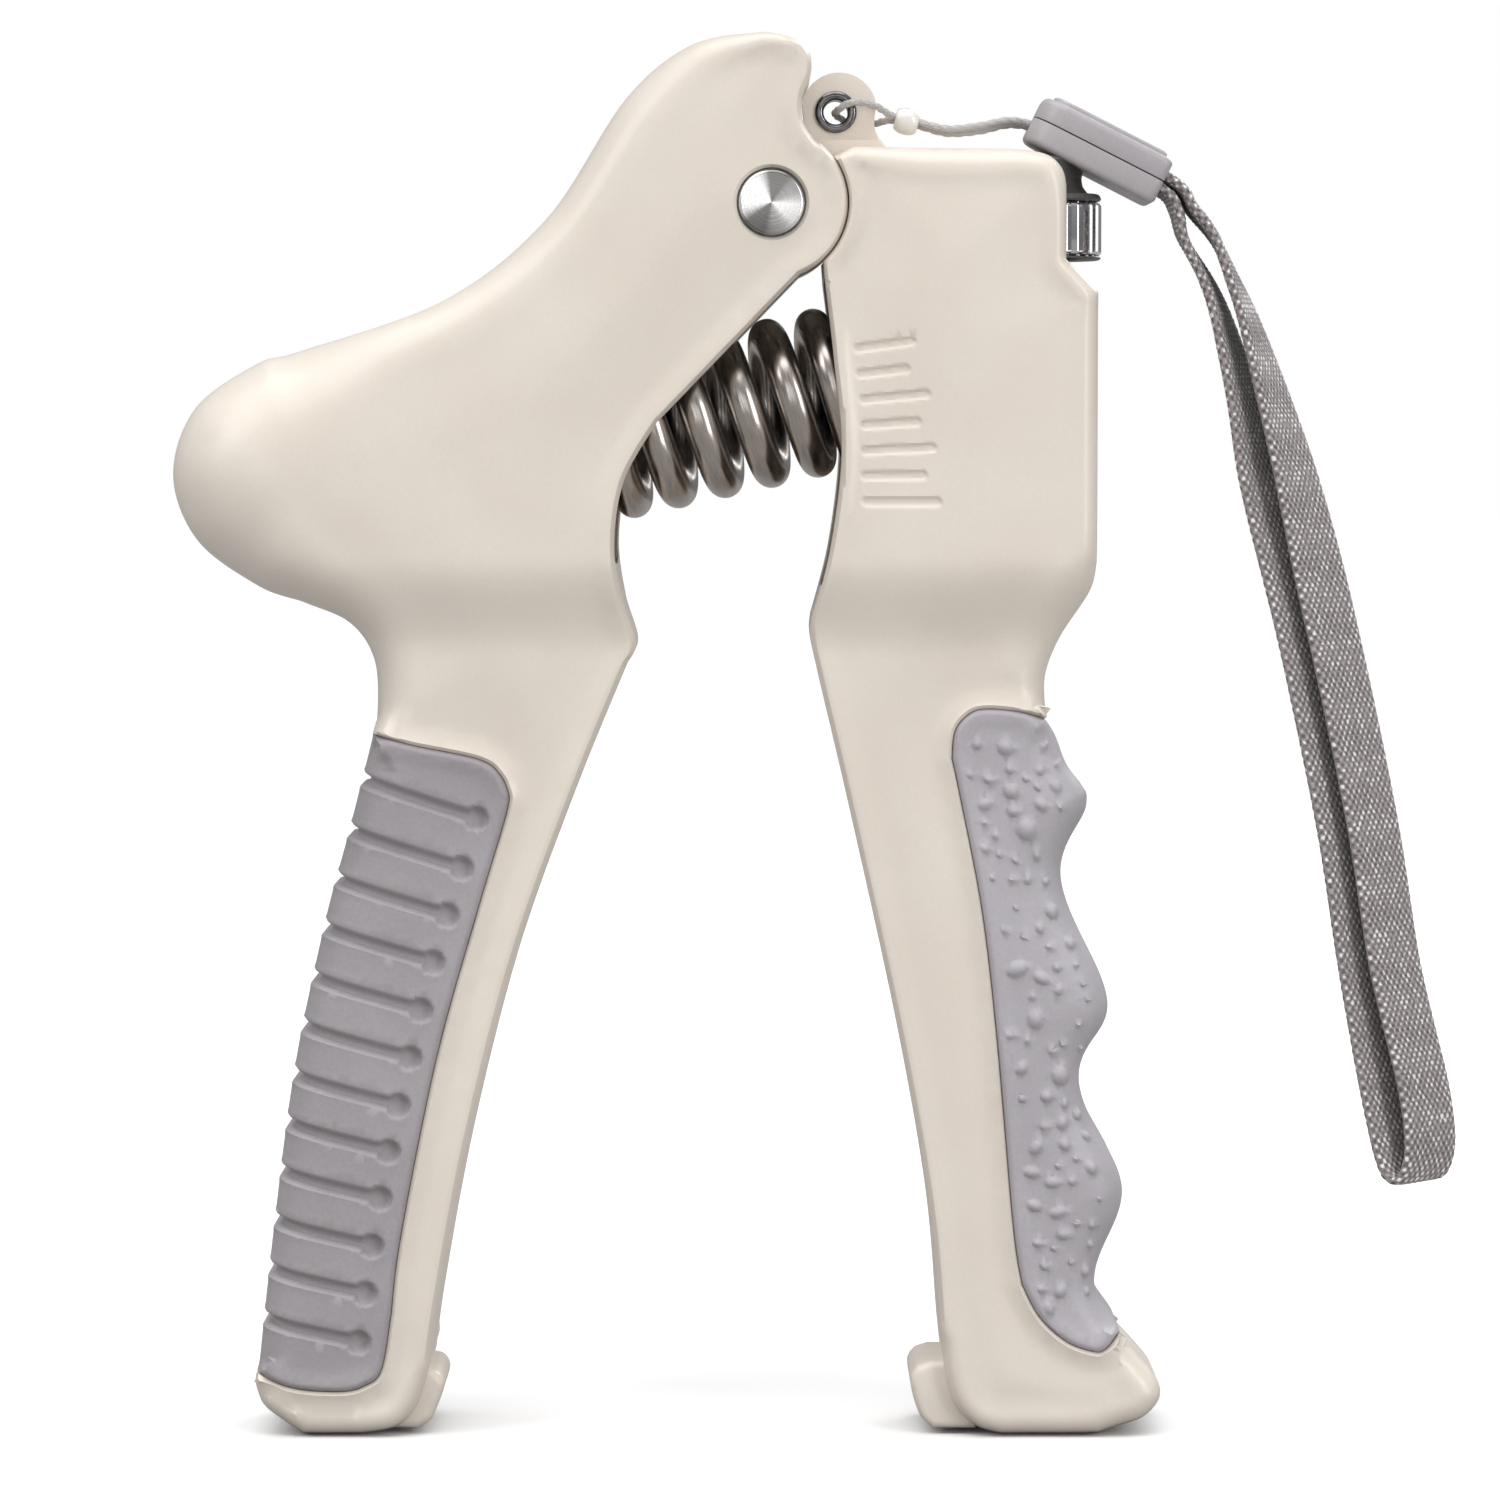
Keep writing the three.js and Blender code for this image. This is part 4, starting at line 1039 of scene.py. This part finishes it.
def moulded(
    name, dark, light, roughness, grain=2600.0, bump=0.15, spread=0.1, rub=None, coat=0.0, specular=0.5
):
    """A moulded plastic or rubber."""
    material, tree, shader, place = new_material(name)
    where = place.outputs["Object"]
    skin = placed(tree, GRAIN, Vector=where, Grain=grain, Roughness=roughness, Spread=spread)
    colour = blended(tree, skin.outputs["Mask"], dark, light)
    if rub:
        edges = placed(tree, WEAR)
        colour = overlaid(tree, edges.outputs["Mask"], colour, rub, 0.5)
    tree.links.new(colour, shader.inputs["Base Color"])
    tree.links.new(skin.outputs["Roughness"], shader.inputs["Roughness"])
    shader.inputs["Specular IOR Level"].default_value = specular
    shader.inputs["Coat Weight"].default_value = coat
    shader.inputs["Coat Roughness"].default_value = 0.2
    bumped(tree, shader, skin.outputs["Height"], bump, 0.00006)
    return material


def metal(
    name, dark, light, roughness, stretch=(1, 1, 1), scale=900.0, spread=0.15, bump=0.1, uv=False, rub=None
):
    material, tree, shader, place = new_material(name)
    mapping = tree.nodes.new("ShaderNodeMapping")
    mapping.inputs["Scale"].default_value = stretch
    tree.links.new(place.outputs["UV" if uv else "Object"], mapping.inputs["Vector"])
    where = mapping.outputs["Vector"]
    streaks = placed(tree, DRAWN, Vector=where, Scale=scale, Roughness=roughness, Spread=spread)
    colour = blended(tree, streaks.outputs["Mask"], dark, light)
    if rub:
        edges = placed(tree, WEAR)
        colour = overlaid(tree, edges.outputs["Mask"], colour, rub, 0.6)
    tree.links.new(colour, shader.inputs["Base Color"])
    tree.links.new(streaks.outputs["Roughness"], shader.inputs["Roughness"])
    shader.inputs["Metallic"].default_value = 1.0
    bumped(tree, shader, streaks.outputs["Height"], bump, 0.00004)
    return material


def ringed_metal(name, centre, dark, light, roughness):
    """Concentric turning marks about a point of the x-z plane, with a painted reflection of bright and dark
    fans by angle laid round it.
    """
    material, tree, shader, place = new_material(name)
    mapping = tree.nodes.new("ShaderNodeMapping")
    mapping.inputs["Location"].default_value = (-centre[0] * MM, 0, -centre[1] * MM)
    tree.links.new(place.outputs["Object"], mapping.inputs["Vector"])
    split = node(tree, "ShaderNodeSeparateXYZ", Vector=mapping.outputs["Vector"])
    x2 = math_node(tree, "POWER", split.outputs["X"], 2.0)
    z2 = math_node(tree, "POWER", split.outputs["Z"], 2.0)
    radius = math_node(tree, "SQRT", math_node(tree, "ADD", x2, z2))
    joined = node(tree, "ShaderNodeCombineXYZ", X=radius, Y=0.0, Z=0.0)
    where = joined.outputs["Vector"]
    rings = placed(tree, DRAWN, Vector=where, Scale=5200.0, Roughness=roughness, Spread=0.3)
    # Painted reflection: bright and dark fans by angle round the centre, standing in for the turned disc's
    # highlights.
    angle = math_node(tree, "ARCTAN2", split.outputs["Z"], split.outputs["X"])
    painted_fan_highlights = math_node(tree, "COSINE", math_node(tree, "MULTIPLY_ADD", angle, 2.0, 0.9))
    finer_painted_fans = math_node(tree, "COSINE", math_node(tree, "MULTIPLY_ADD", angle, 5.0, 2.0))
    spread = math_node(tree, "MULTIPLY_ADD", finer_painted_fans, 0.1, math_node(tree, "MULTIPLY", painted_fan_highlights, 0.34))
    # The base colour mixes the real turning rings with the painted fan highlights.
    glow = math_node(tree, "MULTIPLY_ADD", rings.outputs["Mask"], 0.5, math_node(tree, "ADD", spread, 0.25))
    tree.links.new(blended(tree, glow, dark, light, 0.25, 0.75), shader.inputs["Base Color"])
    tree.links.new(rings.outputs["Roughness"], shader.inputs["Roughness"])
    shader.inputs["Metallic"].default_value = 1.0
    bumped(tree, shader, rings.outputs["Height"], 0.3, 0.00005)
    return material


def woven(name, dark, light, fleck):
    """Coarse plain weave laid along the webbing's own map, with pale flecks of yarn."""
    material, tree, shader, place = new_material(name)
    split = node(tree, "ShaderNodeSeparateXYZ", Vector=place.outputs["UV"])
    ends = math_node(tree, "SINE", math_node(tree, "MULTIPLY", split.outputs["X"], 2 * math.pi / 0.105))
    picks = math_node(tree, "SINE", math_node(tree, "MULTIPLY", split.outputs["Y"], 2 * math.pi / 0.13))
    crossing = math_node(tree, "MULTIPLY", ends, picks)
    yarn = node(tree, "ShaderNodeTexNoise", Vector=place.outputs["UV"], Scale=26.0, Detail=5.0, Roughness=0.7)
    slub = node(tree, "ShaderNodeTexNoise", Vector=place.outputs["UV"], Scale=7.5, Detail=3.0)
    value = math_node(tree, "MULTIPLY_ADD", crossing, 0.22, yarn.outputs["Fac"])
    colour = blended(tree, value, dark, light, 0.3, 0.72)
    spots = math_node(tree, "ADD", math_node(tree, "MULTIPLY", crossing, 0.28), slub.outputs["Fac"])
    flecks = math_node(tree, "MULTIPLY", math_node(tree, "SUBTRACT", spots, 0.66), 9.0, clamp=True)
    colour = overlaid(tree, flecks, colour, fleck, 0.9)
    tree.links.new(colour, shader.inputs["Base Color"])
    shader.inputs["Roughness"].default_value = 0.72
    shader.inputs["Sheen Weight"].default_value = 0.25
    shader.inputs["Specular IOR Level"].default_value = 0.35
    bumped(tree, shader, value, 0.5, 0.00025)
    return material


def corded(name, dark, light):
    """Silvery twisted yarn along the cord's own map."""
    material, tree, shader, place = new_material(name)
    split = node(tree, "ShaderNodeSeparateXYZ", Vector=place.outputs["UV"])
    around = math_node(tree, "MULTIPLY", split.outputs["X"], 46.0)
    slant = math_node(tree, "MULTIPLY_ADD", split.outputs["Y"], 18.0, around)
    plies = math_node(tree, "SINE", math_node(tree, "MULTIPLY", slant, 2 * math.pi))
    fibre = node(tree, "ShaderNodeTexNoise", Vector=place.outputs["UV"], Scale=60.0, Detail=4.0)
    value = math_node(tree, "MULTIPLY_ADD", plies, 0.2, fibre.outputs["Fac"])
    tree.links.new(blended(tree, value, dark, light, 0.25, 0.75), shader.inputs["Base Color"])
    shader.inputs["Roughness"].default_value = 0.42
    shader.inputs["Sheen Weight"].default_value = 0.3
    bumped(tree, shader, value, 0.35, 0.00008)
    return material


CREAM = moulded("cream moulding", (217, 207, 195), (224, 215, 204), 0.36, grain=3400.0, bump=0.06, coat=0.12)
PALM_GREY = moulded(
    "palm grip rubber", (150, 145, 148), (164, 159, 162), 0.55,
    grain=2400.0, bump=0.25, specular=0.4,
)
FINGER_GREY = moulded(
    "finger grip rubber", (166, 162, 167), (179, 175, 180), 0.5,
    grain=2400.0, bump=0.22, specular=0.45,
)
SLIDER_GREY = moulded("slider plastic", (158, 153, 156), (170, 165, 168), 0.38, grain=2800.0, bump=0.08)
BLACK = moulded("black moulding", (34, 33, 32), (48, 46, 45), 0.45, bump=0.2, rub=(80, 78, 76))
NECK_GREY = moulded("dark neck moulding", (62, 60, 58), (78, 76, 74), 0.4, bump=0.15, rub=(96, 94, 92))
PEARL = moulded("pearl bead", (222, 218, 212), (240, 237, 232), 0.22, grain=900.0, bump=0.05, coat=0.8)
SPRING_STEEL = metal(
    "spring wire", (166, 157, 150), (196, 189, 183), 0.24,
    stretch=(6, 0.35, 1), scale=14.0, spread=0.05, bump=0.02, uv=True,
)
CHROME = metal(
    "bright chrome", (222, 222, 225), (238, 238, 240), 0.07,
    stretch=(1, 1, 0.1), scale=1500.0, spread=0.06, bump=0.03,
)
DARK_CHROME = metal("dark chrome", (84, 83, 84), (128, 127, 128), 0.12, scale=1200.0, spread=0.1, bump=0.05)
ZINC = metal(
    "zinc plate", (168, 168, 166), (196, 196, 194), 0.3,
    scale=1400.0, spread=0.2, bump=0.15, rub=(220, 220, 218),
)
BRASS = metal(
    "bearing brass", (176, 142, 84), (204, 170, 108), 0.32,
    stretch=(1, 1, 8), scale=700.0, rub=(226, 198, 140),
)
BRUSHED = ringed_metal("turned aluminium", PIVOT, (132, 130, 128), (252, 251, 250), 0.26)
WEBBING = woven("woven strap", (92, 84, 84), (176, 168, 168), (238, 236, 236))
CORD = corded("silver cord", (128, 124, 122), (206, 203, 200))


# ---------------------------------------------------------------- hardware
def pivot_pin():
    """A turned pin: a chamfered, faintly domed head on a plain shaft."""
    head = [(0, 0), (2.4, 0), (2.4, 26.0), (3.85, 26.0), (3.85, 26.8), (3.6, 27.05), (0, 27.1)]
    obj = turned(rounded(head, 0.18, 3), 96)
    return put(obj, (PIVOT[0], 13.1, PIVOT[1]), TO_FRONT)


def pivot_cap():
    cap = [
        (0, 0.1), (2.7, 0.1), (2.7, 0), (3.85, 0), (3.85, 0.7), (3.5, 1.0), (1.4, 1.05),
        (1.0, 0.85), (0, 0.8),
    ]
    obj = turned(rounded(cap, 0.15, 3), 96)
    return put(obj, (PIVOT[0], 12.95, PIVOT[1]), TO_BACK)


def strap_eyelet():
    """A rolled grommet: a short tube whose two ends are curled out into flanges."""
    curl = [
        (1.45, 0), (1.45, 2.3), (1.62, 2.62), (1.95, 2.72), (2.3, 2.64), (2.5, 2.42), (2.42, 2.33),
        (1.7, 2.33), (1.7, 0),
    ]
    obj = turned(rounded(curl, 0.1, 3), 48)
    apply_modifier(obj, "MIRROR", use_axis=(False, False, True), merge_threshold=0.00001)
    outward(obj)
    return put(obj, (20.1, 0, 157.6), TO_BACK)


def cord_bead():
    ball = [
        (0.95, -1.35), (1.05, -1.4), (1.25, -1.25), (1.52, -0.7), (1.6, 0), (1.52, 0.7), (1.25, 1.25),
        (1.05, 1.4), (0.95, 1.35),
    ]
    profile = [tuple(p) for p in spline(ball, 0.15)] + [ball[0]]
    obj = turned(profile, 40)
    return put(obj, (28.6, 0, 156.6), Matrix.Rotation(math.pi / 2 + math.radians(14), 3, "Y"))


def flat_outline(name, points, low, high, edge, segments=3):
    """A plate cut to an outline, extruded through y and bevelled round both faces."""
    points = np.asarray(points)
    rows = np.column_stack([points[:, 0], np.full(len(points), low), points[:, 1]])
    obj = piece(name, rows, [tuple(range(len(rows)))])
    edit(obj, "FACE")
    bpy.ops.mesh.extrude_region_move(TRANSFORM_OT_translate={"value": (0, (high - low) * MM, 0)})
    leave_edit()
    outward(obj)
    edit(obj)
    caps = {p.index for p in obj.data.polygons if len(p.vertices) > 4}
    rim_keys = {tuple(sorted(k)) for p in obj.data.polygons if p.index in caps for k in p.edge_keys}
    choose(obj, "EDGE", lambda e: tuple(sorted(e.vertices)) in rim_keys)
    bpy.ops.mesh.bevel(offset=edge * MM, segments=segments, affect="EDGES", clamp_overlap=True)
    leave_edit()
    return obj


def hinge_tongue():
    """The moulded tongue clamped in the right housing, with its lug for the eyelet thinned down."""
    line = np.vstack([
        arc(PIVOT, 8, 95, 268, 1.0),
        spline([[15.5, 139.2], [19, 140.2], [24, 140.2]], 1.0),
        [[34.8, 140.2], [34.8, 150.4], [30, 150.4]],
        spline([[26.6, 152.6], [24.8, 155.4], [24.9, 158.2]], 0.8),
        arc((20.5, 157.8), 4.5, 15, 170, 0.7),
        spline([[16.4, 156], [15.6, 154.8], [14, 154.3]], 0.8),
    ])
    obj = flat_outline("hinge_tongue_plate", line, -4.6, 4.6, 0.35)
    for side in (-1, 1):
        bite(obj, cube((0.014, 0.008, 0.01), (0.0205, side * 0.0062, 0.1592)))
    for x, z, radius, depth in ((*PIVOT, 3.9, 6), (20.1, 157.6, 1.95, 6)):
        drill(obj, x, z, radius, depth)
    return obj


def bite(obj, cutter):
    """Cuts one piece with another and throws the cutter away."""
    settle(cutter)
    apply_modifier(obj, "BOOLEAN", object=cutter, operation="DIFFERENCE", solver="EXACT")
    bpy.data.objects.remove(cutter, do_unlink=True)
    take(obj)


def drill(obj, x, z, radius, half_depth):
    bpy.ops.object.select_all(action="DESELECT")
    bpy.ops.mesh.primitive_cylinder_add(
        vertices=48, radius=radius * MM, depth=2 * half_depth * MM,
        location=(x * MM, 0, z * MM), rotation=(math.pi / 2, 0, 0),
    )
    bite(obj, bpy.context.object)


def knob_sleeve():
    """The fluted chrome barrel of the knob."""
    flutes = 28
    wall = [(5.75, 0), (7.6, 0), (8.0, 0.35), (8.0, 6.05), (7.6, 6.4), (5.75, 6.4), (5.75, 0)]
    obj = turned(rounded(wall, 0.22, 4), flutes * 8)
    edit(obj)

    def in_groove(v):
        x, y = v.co.x, v.co.y
        turn = math.atan2(y, x) * flutes / (2 * math.pi) % 1
        return math.hypot(x, y) > 0.0074 and turn < 0.36

    choose(obj, "VERT", in_groove)
    bpy.ops.transform.resize(value=(0.935, 0.935, 1), center_override=(0, 0, 0))
    leave_edit()
    return put(obj, (KNOB_X, 0, 140.5))


def knob_core():
    """Black end rims with a waisted neck that rises through the housing."""
    top = 147.9
    side = [
        (2.7, 140), (7.55, 140), (7.95, 140.2), (7.9, 140.45), (5.6, 140.5), (5.6, 146.95), (7.75, 147.0),
        (8.0, 147.3), (7.7, top), (6.4, top + 0.05), (5.75, top + 0.9), (5.6, top + 1.8), (6.0, top + 3.6),
        (6.25, top + 4.2), (5.6, top + 4.6), (0, top + 4.6),
    ]
    side += [(0, top - 2), (2.7, top - 2), (2.7, 140)]
    obj = turned(rounded(side, 0.25, 4), 96)
    return put(obj, (KNOB_X, 0, 0))


SLIDER_PLACE = (51.4, 0, 153.1)
SLIDER_TURN = Matrix.Rotation(math.radians(27), 3, "Y")
SLIDER_LENGTH, SLIDER_WIDTH = 17.2, 12.0
SLIDER_TOP, SLIDER_FOOT = 2.75, 3.1  # height of each half above and below the parting
SLIDER_GAP = 0.07


def slider_half(sign):
    """One half of the strap's clamp: a soft-edged block, the upper one with a raised plate."""
    top = SLIDER_TOP if sign > 0 else SLIDER_FOOT
    size = (SLIDER_LENGTH * MM, SLIDER_WIDTH * MM, (top - SLIDER_GAP) * MM)
    obj = cube(size, (0, 0, sign * (top + SLIDER_GAP) / 2 * MM))
    settle(obj)

    def ends(e):
        return [obj.data.vertices[v].co for v in e.vertices]

    edit(obj)
    choose(obj, "EDGE", lambda e: abs(ends(e)[0].z - ends(e)[1].z) > 0.001 and ends(e)[0].x < 0)
    bpy.ops.mesh.bevel(offset=0.0034, segments=10, affect="EDGES")
    choose(obj, "EDGE", lambda e: abs(ends(e)[0].z - ends(e)[1].z) > 0.001 and ends(e)[0].x > 0.008)
    bpy.ops.mesh.bevel(offset=0.0011, segments=4, affect="EDGES")
    choose(obj, "EDGE", lambda e: min(abs(c.z) for c in ends(e)) > 0.0024)
    bpy.ops.mesh.bevel(offset=0.0008, segments=4, affect="EDGES")
    if sign > 0:
        choose(obj, "FACE", lambda f: f.normal.z > 0.9 and f.area > 0.00002)
        for shrink, rise in (((0.955, 0.93, 1), 0.0), ((1, 1, 1), 0.00035), ((0.965, 0.95, 1), 0.0002)):
            bpy.ops.mesh.extrude_region_move(TRANSFORM_OT_translate={"value": (0, 0, rise)})
            bpy.ops.transform.resize(value=shrink)
    leave_edit()
    outward(obj)
    bite(obj, cube((0.0204, 0.0103, 0.0042), (0.0072, 0, 0)))
    bpy.ops.object.select_all(action="DESELECT")
    bpy.ops.mesh.primitive_cylinder_add(
        vertices=40, radius=0.0013, depth=0.016, location=(-0.008, 0, -0.001), rotation=(0, math.pi / 2, 0)
    )
    bite(obj, bpy.context.object)
    sharp = math.radians(40)
    apply_modifier(obj, "BEVEL", width=0.00018, segments=3, limit_method="ANGLE", angle_limit=sharp)
    return put(obj, SLIDER_PLACE, SLIDER_TURN)


def stop_bumper(name, points):
    return flat_outline(name, points, -8, 8, 1.1, 5)


LEFT_BUMPER = [[-28.2, 1.6], [-27.1, 4.2], [-26.7, 6], [-27.5, 7.3], [-29.5, 7.7]]
RIGHT_BUMPER = [[30, 8.1], [29.1, 6.8], [29.4, 4.4], [30.4, 1.8], [31.8, 0.5]]


def left_stop():
    line = np.vstack([[[-34, 0.5], [-29.6, 0.5]], spline(LEFT_BUMPER, 0.5), [[-34, 7.7]]])
    return stop_bumper("left_stop", line)


def right_stop():
    line = np.vstack([[[37, 8.6], [31.5, 8.6]], spline(RIGHT_BUMPER, 0.5), [[37, 0.5]]])
    return stop_bumper("right_stop", line)


def shell_screw():
    """A pan-head screw with a cross recess and a tapped shank, standing on the origin."""
    rows = [(0, -20.0), (0.55, -19.8), (1.0, -18.6)]
    for i in range(16):
        base = -18.3 + i * 1.0
        rows += [(0.95, base), (1.25, base + 0.3), (1.25, base + 0.42), (0.95, base + 0.75)]
    rows += [(1.2, -1.9), (1.2, -1.8), (2.2, -1.75), (2.3, -1.6), (2.3, -0.65)]
    rows += [(2.05, -0.25), (1.4, -0.05), (0, 0)]
    obj = turned(rows, 32)
    for turn in (0, math.pi / 2):
        bite(obj, cube((0.0026, 0.00062, 0.0018), turn=(0, 0, turn)))
    return obj


def main_spring():
    """The coil: nearly closed end turns with open turns between them."""
    wire, coil, pitch, length, gap = 2.05, 7.95, 5.7, 35.8, 0.3
    closed = 0.8
    rise = closed * 2 * wire * 1.03
    opened = (length - 2 * gap - 2 * wire - 2 * rise) / pitch
    turns = np.linspace(0, opened + 2 * closed, 420)
    middle = np.clip(turns - closed, 0, opened)
    height = gap + wire + middle * pitch + (turns - middle) * rise / closed
    angle = 2 * math.pi * (0.124 - turns)
    c, s = math.cos(SPRING_TILT), math.sin(SPRING_TILT)
    along, lift = np.array([c, 0, s]), np.array([-s, 0, c])
    across = np.array([0.0, 1.0, 0.0])
    line = (
        SPRING_SEAT
        + height[:, None] * along
        + (coil * np.cos(angle))[:, None] * lift
        + (coil * np.sin(angle))[:, None] * across
    )
    radial = np.cos(angle)[:, None] * lift + np.sin(angle)[:, None] * across
    axis = np.gradient(line, axis=0)
    axis /= np.linalg.norm(axis, axis=1)[:, None]
    third = np.cross(axis, radial)
    third /= np.linalg.norm(third, axis=1)[:, None]
    sides = 28
    round_angle = np.arange(sides) / sides * 2 * math.pi
    last = len(line) - 1

    def section(i):
        taper = min(1.0, 0.72 + 0.28 * min(i, last - i) / 2)
        ring = np.cos(round_angle)[:, None] * radial[i] + np.sin(round_angle)[:, None] * third[i]
        return ring * wire * taper

    obj = swept("main_spring_coil", line, sides, section)
    travel = np.concatenate([[0], np.cumsum(np.linalg.norm(np.diff(line, axis=0), axis=1))])
    lay_uv(obj, sides, travel, 2 * math.pi * wire)
    outward(obj)
    return obj


# ---------------------------------------------------------------- assembly
lanyard_obj, lanyard_line, lanyard_length = lanyard()
dress(lanyard_obj, "lanyard", CORD, "right_handle", "cord", "lanyard_cord", angle=180)
strap_obj, strap_line, strap_length = strap()
dress(strap_obj, "wrist_strap", WEBBING, "right_handle", "webbing", "webbing_loop", angle=70)

left_front = shell("left_front", left_rims(False), False)
dress(left_front, "left_front_cover", CREAM, "left_handle", "cream_shell", "left_front_shell")
left_back = shell("left_back", left_rims(True), True)
dress(left_back, "left_back_cover", CREAM, "left_handle", "cream_shell", "left_back_shell")
slots = [(patch_over(21.2, 32.9, 110.4, 130.9, 0.24), 0.24)]
right_front = shell("right_front", right_rims(False), False, scale_relief, slots)
dress(right_front, "right_front_cover", CREAM, "right_handle", "cream_shell", "right_front_shell")
right_back = shell("right_back", right_rims(True), True)
dress(right_back, "right_back_cover", CREAM, "right_handle", "cream_shell", "right_back_shell")

dress(palm_grip(), "palm_grip_rubber", PALM_GREY, "left_handle", "soft_grip", "palm_grip", angle=50)
dress(finger_grip(), "finger_grip_rubber", FINGER_GREY, "right_handle", "soft_grip", "finger_grip", angle=50)
dress(left_stop(), "left_stop", CREAM, "left_handle", "cream_shell", "left_stop_bumper")
dress(right_stop(), "right_stop", CREAM, "right_handle", "cream_shell", "right_stop_bumper")

dress(pivot_pin(), "pivot_pin_turned", BRUSHED, "left_handle", "brushed_pin", "pivot_pin")
dress(pivot_cap(), "pivot_cap_turned", BRUSHED, "left_handle", "brushed_pin", "pivot_cap")
dress(hinge_tongue(), "hinge_tongue_plate", CREAM, "right_handle", "cream_shell", "hinge_tongue")
dress(strap_eyelet(), "strap_eyelet_rolled", DARK_CHROME, "right_handle", "bright_chrome", "strap_eyelet")
dress(cord_bead(), "cord_bead_round", PEARL, "right_handle", "pearl_bead", "cord_bead")
dress(knob_sleeve(), "knob_barrel", CHROME, "adjuster", "bright_chrome", "knob_sleeve", angle=25)
dress(knob_core(), "knob_rims", NECK_GREY, "adjuster", "black_plastic", "knob_core")
dress(slider_half(1), "slider_top", SLIDER_GREY, "right_handle", "grey_plastic", "strap_slider_upper")
dress(slider_half(-1), "slider_bottom", SLIDER_GREY, "right_handle", "grey_plastic", "strap_slider_lower")

coil = main_spring()
dress(coil, "coil_spring", SPRING_STEEL, "spring", "spring_steel", "main_spring")

pattern = shell_screw()
for side, body, places in (("left", "left_handle", LEFT_SCREWS), ("right", "right_handle", RIGHT_SCREWS)):
    for i, (x, z) in enumerate(places, 1):
        screw = pattern.copy()
        screw.data = pattern.data.copy()
        bpy.context.scene.collection.objects.link(screw)
        put(screw, (x, screw_face(z) - 0.6, z), TO_BACK)
        node_name = f"{side}_shell_screw_{i}"
        dress(screw, f"{side}_screw_{i}", ZINC, body, "zinc_steel", node_name, angle=30)
bpy.data.objects.remove(pattern, do_unlink=True)

for name, material in {
    "fixed_spring_seat": BLACK, "spring_carriage": BLACK, "carriage_nut": BRASS, "lead_screw": ZINC,
    "upper_screw_bearing": BRASS, "lower_screw_bearing": BRASS, "pivot_bush": BRASS,
    "front_washer": ZINC, "back_washer": ZINC,
}.items():
    for slot in NODES[name].material_slots:
        slot.material = material

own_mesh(coil)

# ---------------------------------------------------------------- floor and light
fresh_start()
bpy.ops.mesh.primitive_circle_add(vertices=96, radius=6.0, fill_type="NGON", location=(0, 0, -0.0002))
floor = bpy.context.object
floor.name = "studio_floor"
paper, tree, shader, place = new_material("pale floor")
where = place.outputs["Object"]
grain = placed(tree, GRAIN, Vector=where, Grain=900.0, Mottle=3.0, Roughness=0.8, Spread=0.05)
pale = blended(tree, grain.outputs["Mask"], (247, 247, 247), (250, 250, 250))
tree.links.new(pale, shader.inputs["Base Color"])
tree.links.new(grain.outputs["Roughness"], shader.inputs["Roughness"])
floor.data.materials.append(paper)
dim = node(tree, "ShaderNodeBsdfDiffuse", Color=linear((150, 149, 148)))
ray = tree.nodes.new("ShaderNodeLightPath")
shown = tree.nodes.new("ShaderNodeMixShader")
tree.links.new(ray.outputs["Is Camera Ray"], shown.inputs["Fac"])
tree.links.new(dim.outputs[0], shown.inputs[1])
tree.links.new(shader.outputs[0], shown.inputs[2])
tree.links.new(shown.outputs[0], tree.nodes["Material Output"].inputs["Surface"])


def softbox(name, place, aim, size, power, colour=(1, 1, 1)):
    turn = (Vector(aim) - Vector(place)).to_track_quat("-Z", "Y").to_euler()
    bpy.ops.object.select_all(action="DESELECT")
    bpy.ops.object.light_add(type="AREA", location=place, rotation=turn)
    lamp = bpy.context.object
    lamp.name = name
    lamp.data.shape = "RECTANGLE"
    lamp.data.size, lamp.data.size_y = size
    lamp.data.energy = power
    lamp.data.color = colour
    return lamp


softbox("key_left", (-0.8, -0.55, 0.62), (-0.02, 0, 0.1), (0.5, 0.5), 2.4)
softbox("fill_right", (0.75, -0.7, 0.3), (0.03, 0, 0.08), (0.3, 0.8), 4.4)
softbox("rim_back", (0.5, 0.8, 0.6), (0, 0, 0.1), (0.5, 0.5), 3.0)
softbox("front_card", (0.05, -1.35, 0.34), (0.01, 0, 0.13), (0.75, 0.55), 1.3)
softbox("front_strip", (-0.3, -0.85, 0.1), (0.01, 0, 0.12), (0.08, 0.6), 0.45)

bpy.ops.object.select_all(action="DESELECT")
bpy.ops.object.light_add(type="SUN", rotation=(math.radians(12), math.radians(-8), 0))
overhead = bpy.context.object
overhead.name = "overhead"
overhead.data.energy = 2.2
overhead.data.angle = math.radians(70)

world = bpy.data.worlds.new("studio")
bpy.context.scene.world = world
world.use_nodes = True
sky = world.node_tree
sky.nodes.clear()
out = sky.nodes.new("ShaderNodeOutputWorld")
ray = sky.nodes.new("ShaderNodeLightPath")
seen = node(sky, "ShaderNodeBackground", Color=(1, 1, 1, 1), Strength=1.0)
aim = sky.nodes.new("ShaderNodeTexCoord")
height = node(sky, "ShaderNodeSeparateXYZ", Vector=aim.outputs["Generated"])
glow = math_node(sky, "MULTIPLY_ADD", math_node(sky, "MAXIMUM", height.outputs["Z"], 0.0), 0.42, 0.22)
lit = node(sky, "ShaderNodeBackground", Color=(0.97, 0.98, 1, 1), Strength=glow)
mix = sky.nodes.new("ShaderNodeMixShader")
sky.links.new(ray.outputs["Is Camera Ray"], mix.inputs["Fac"])
sky.links.new(lit.outputs[0], mix.inputs[1])
sky.links.new(seen.outputs[0], mix.inputs[2])
sky.links.new(mix.outputs[0], out.inputs["Surface"])
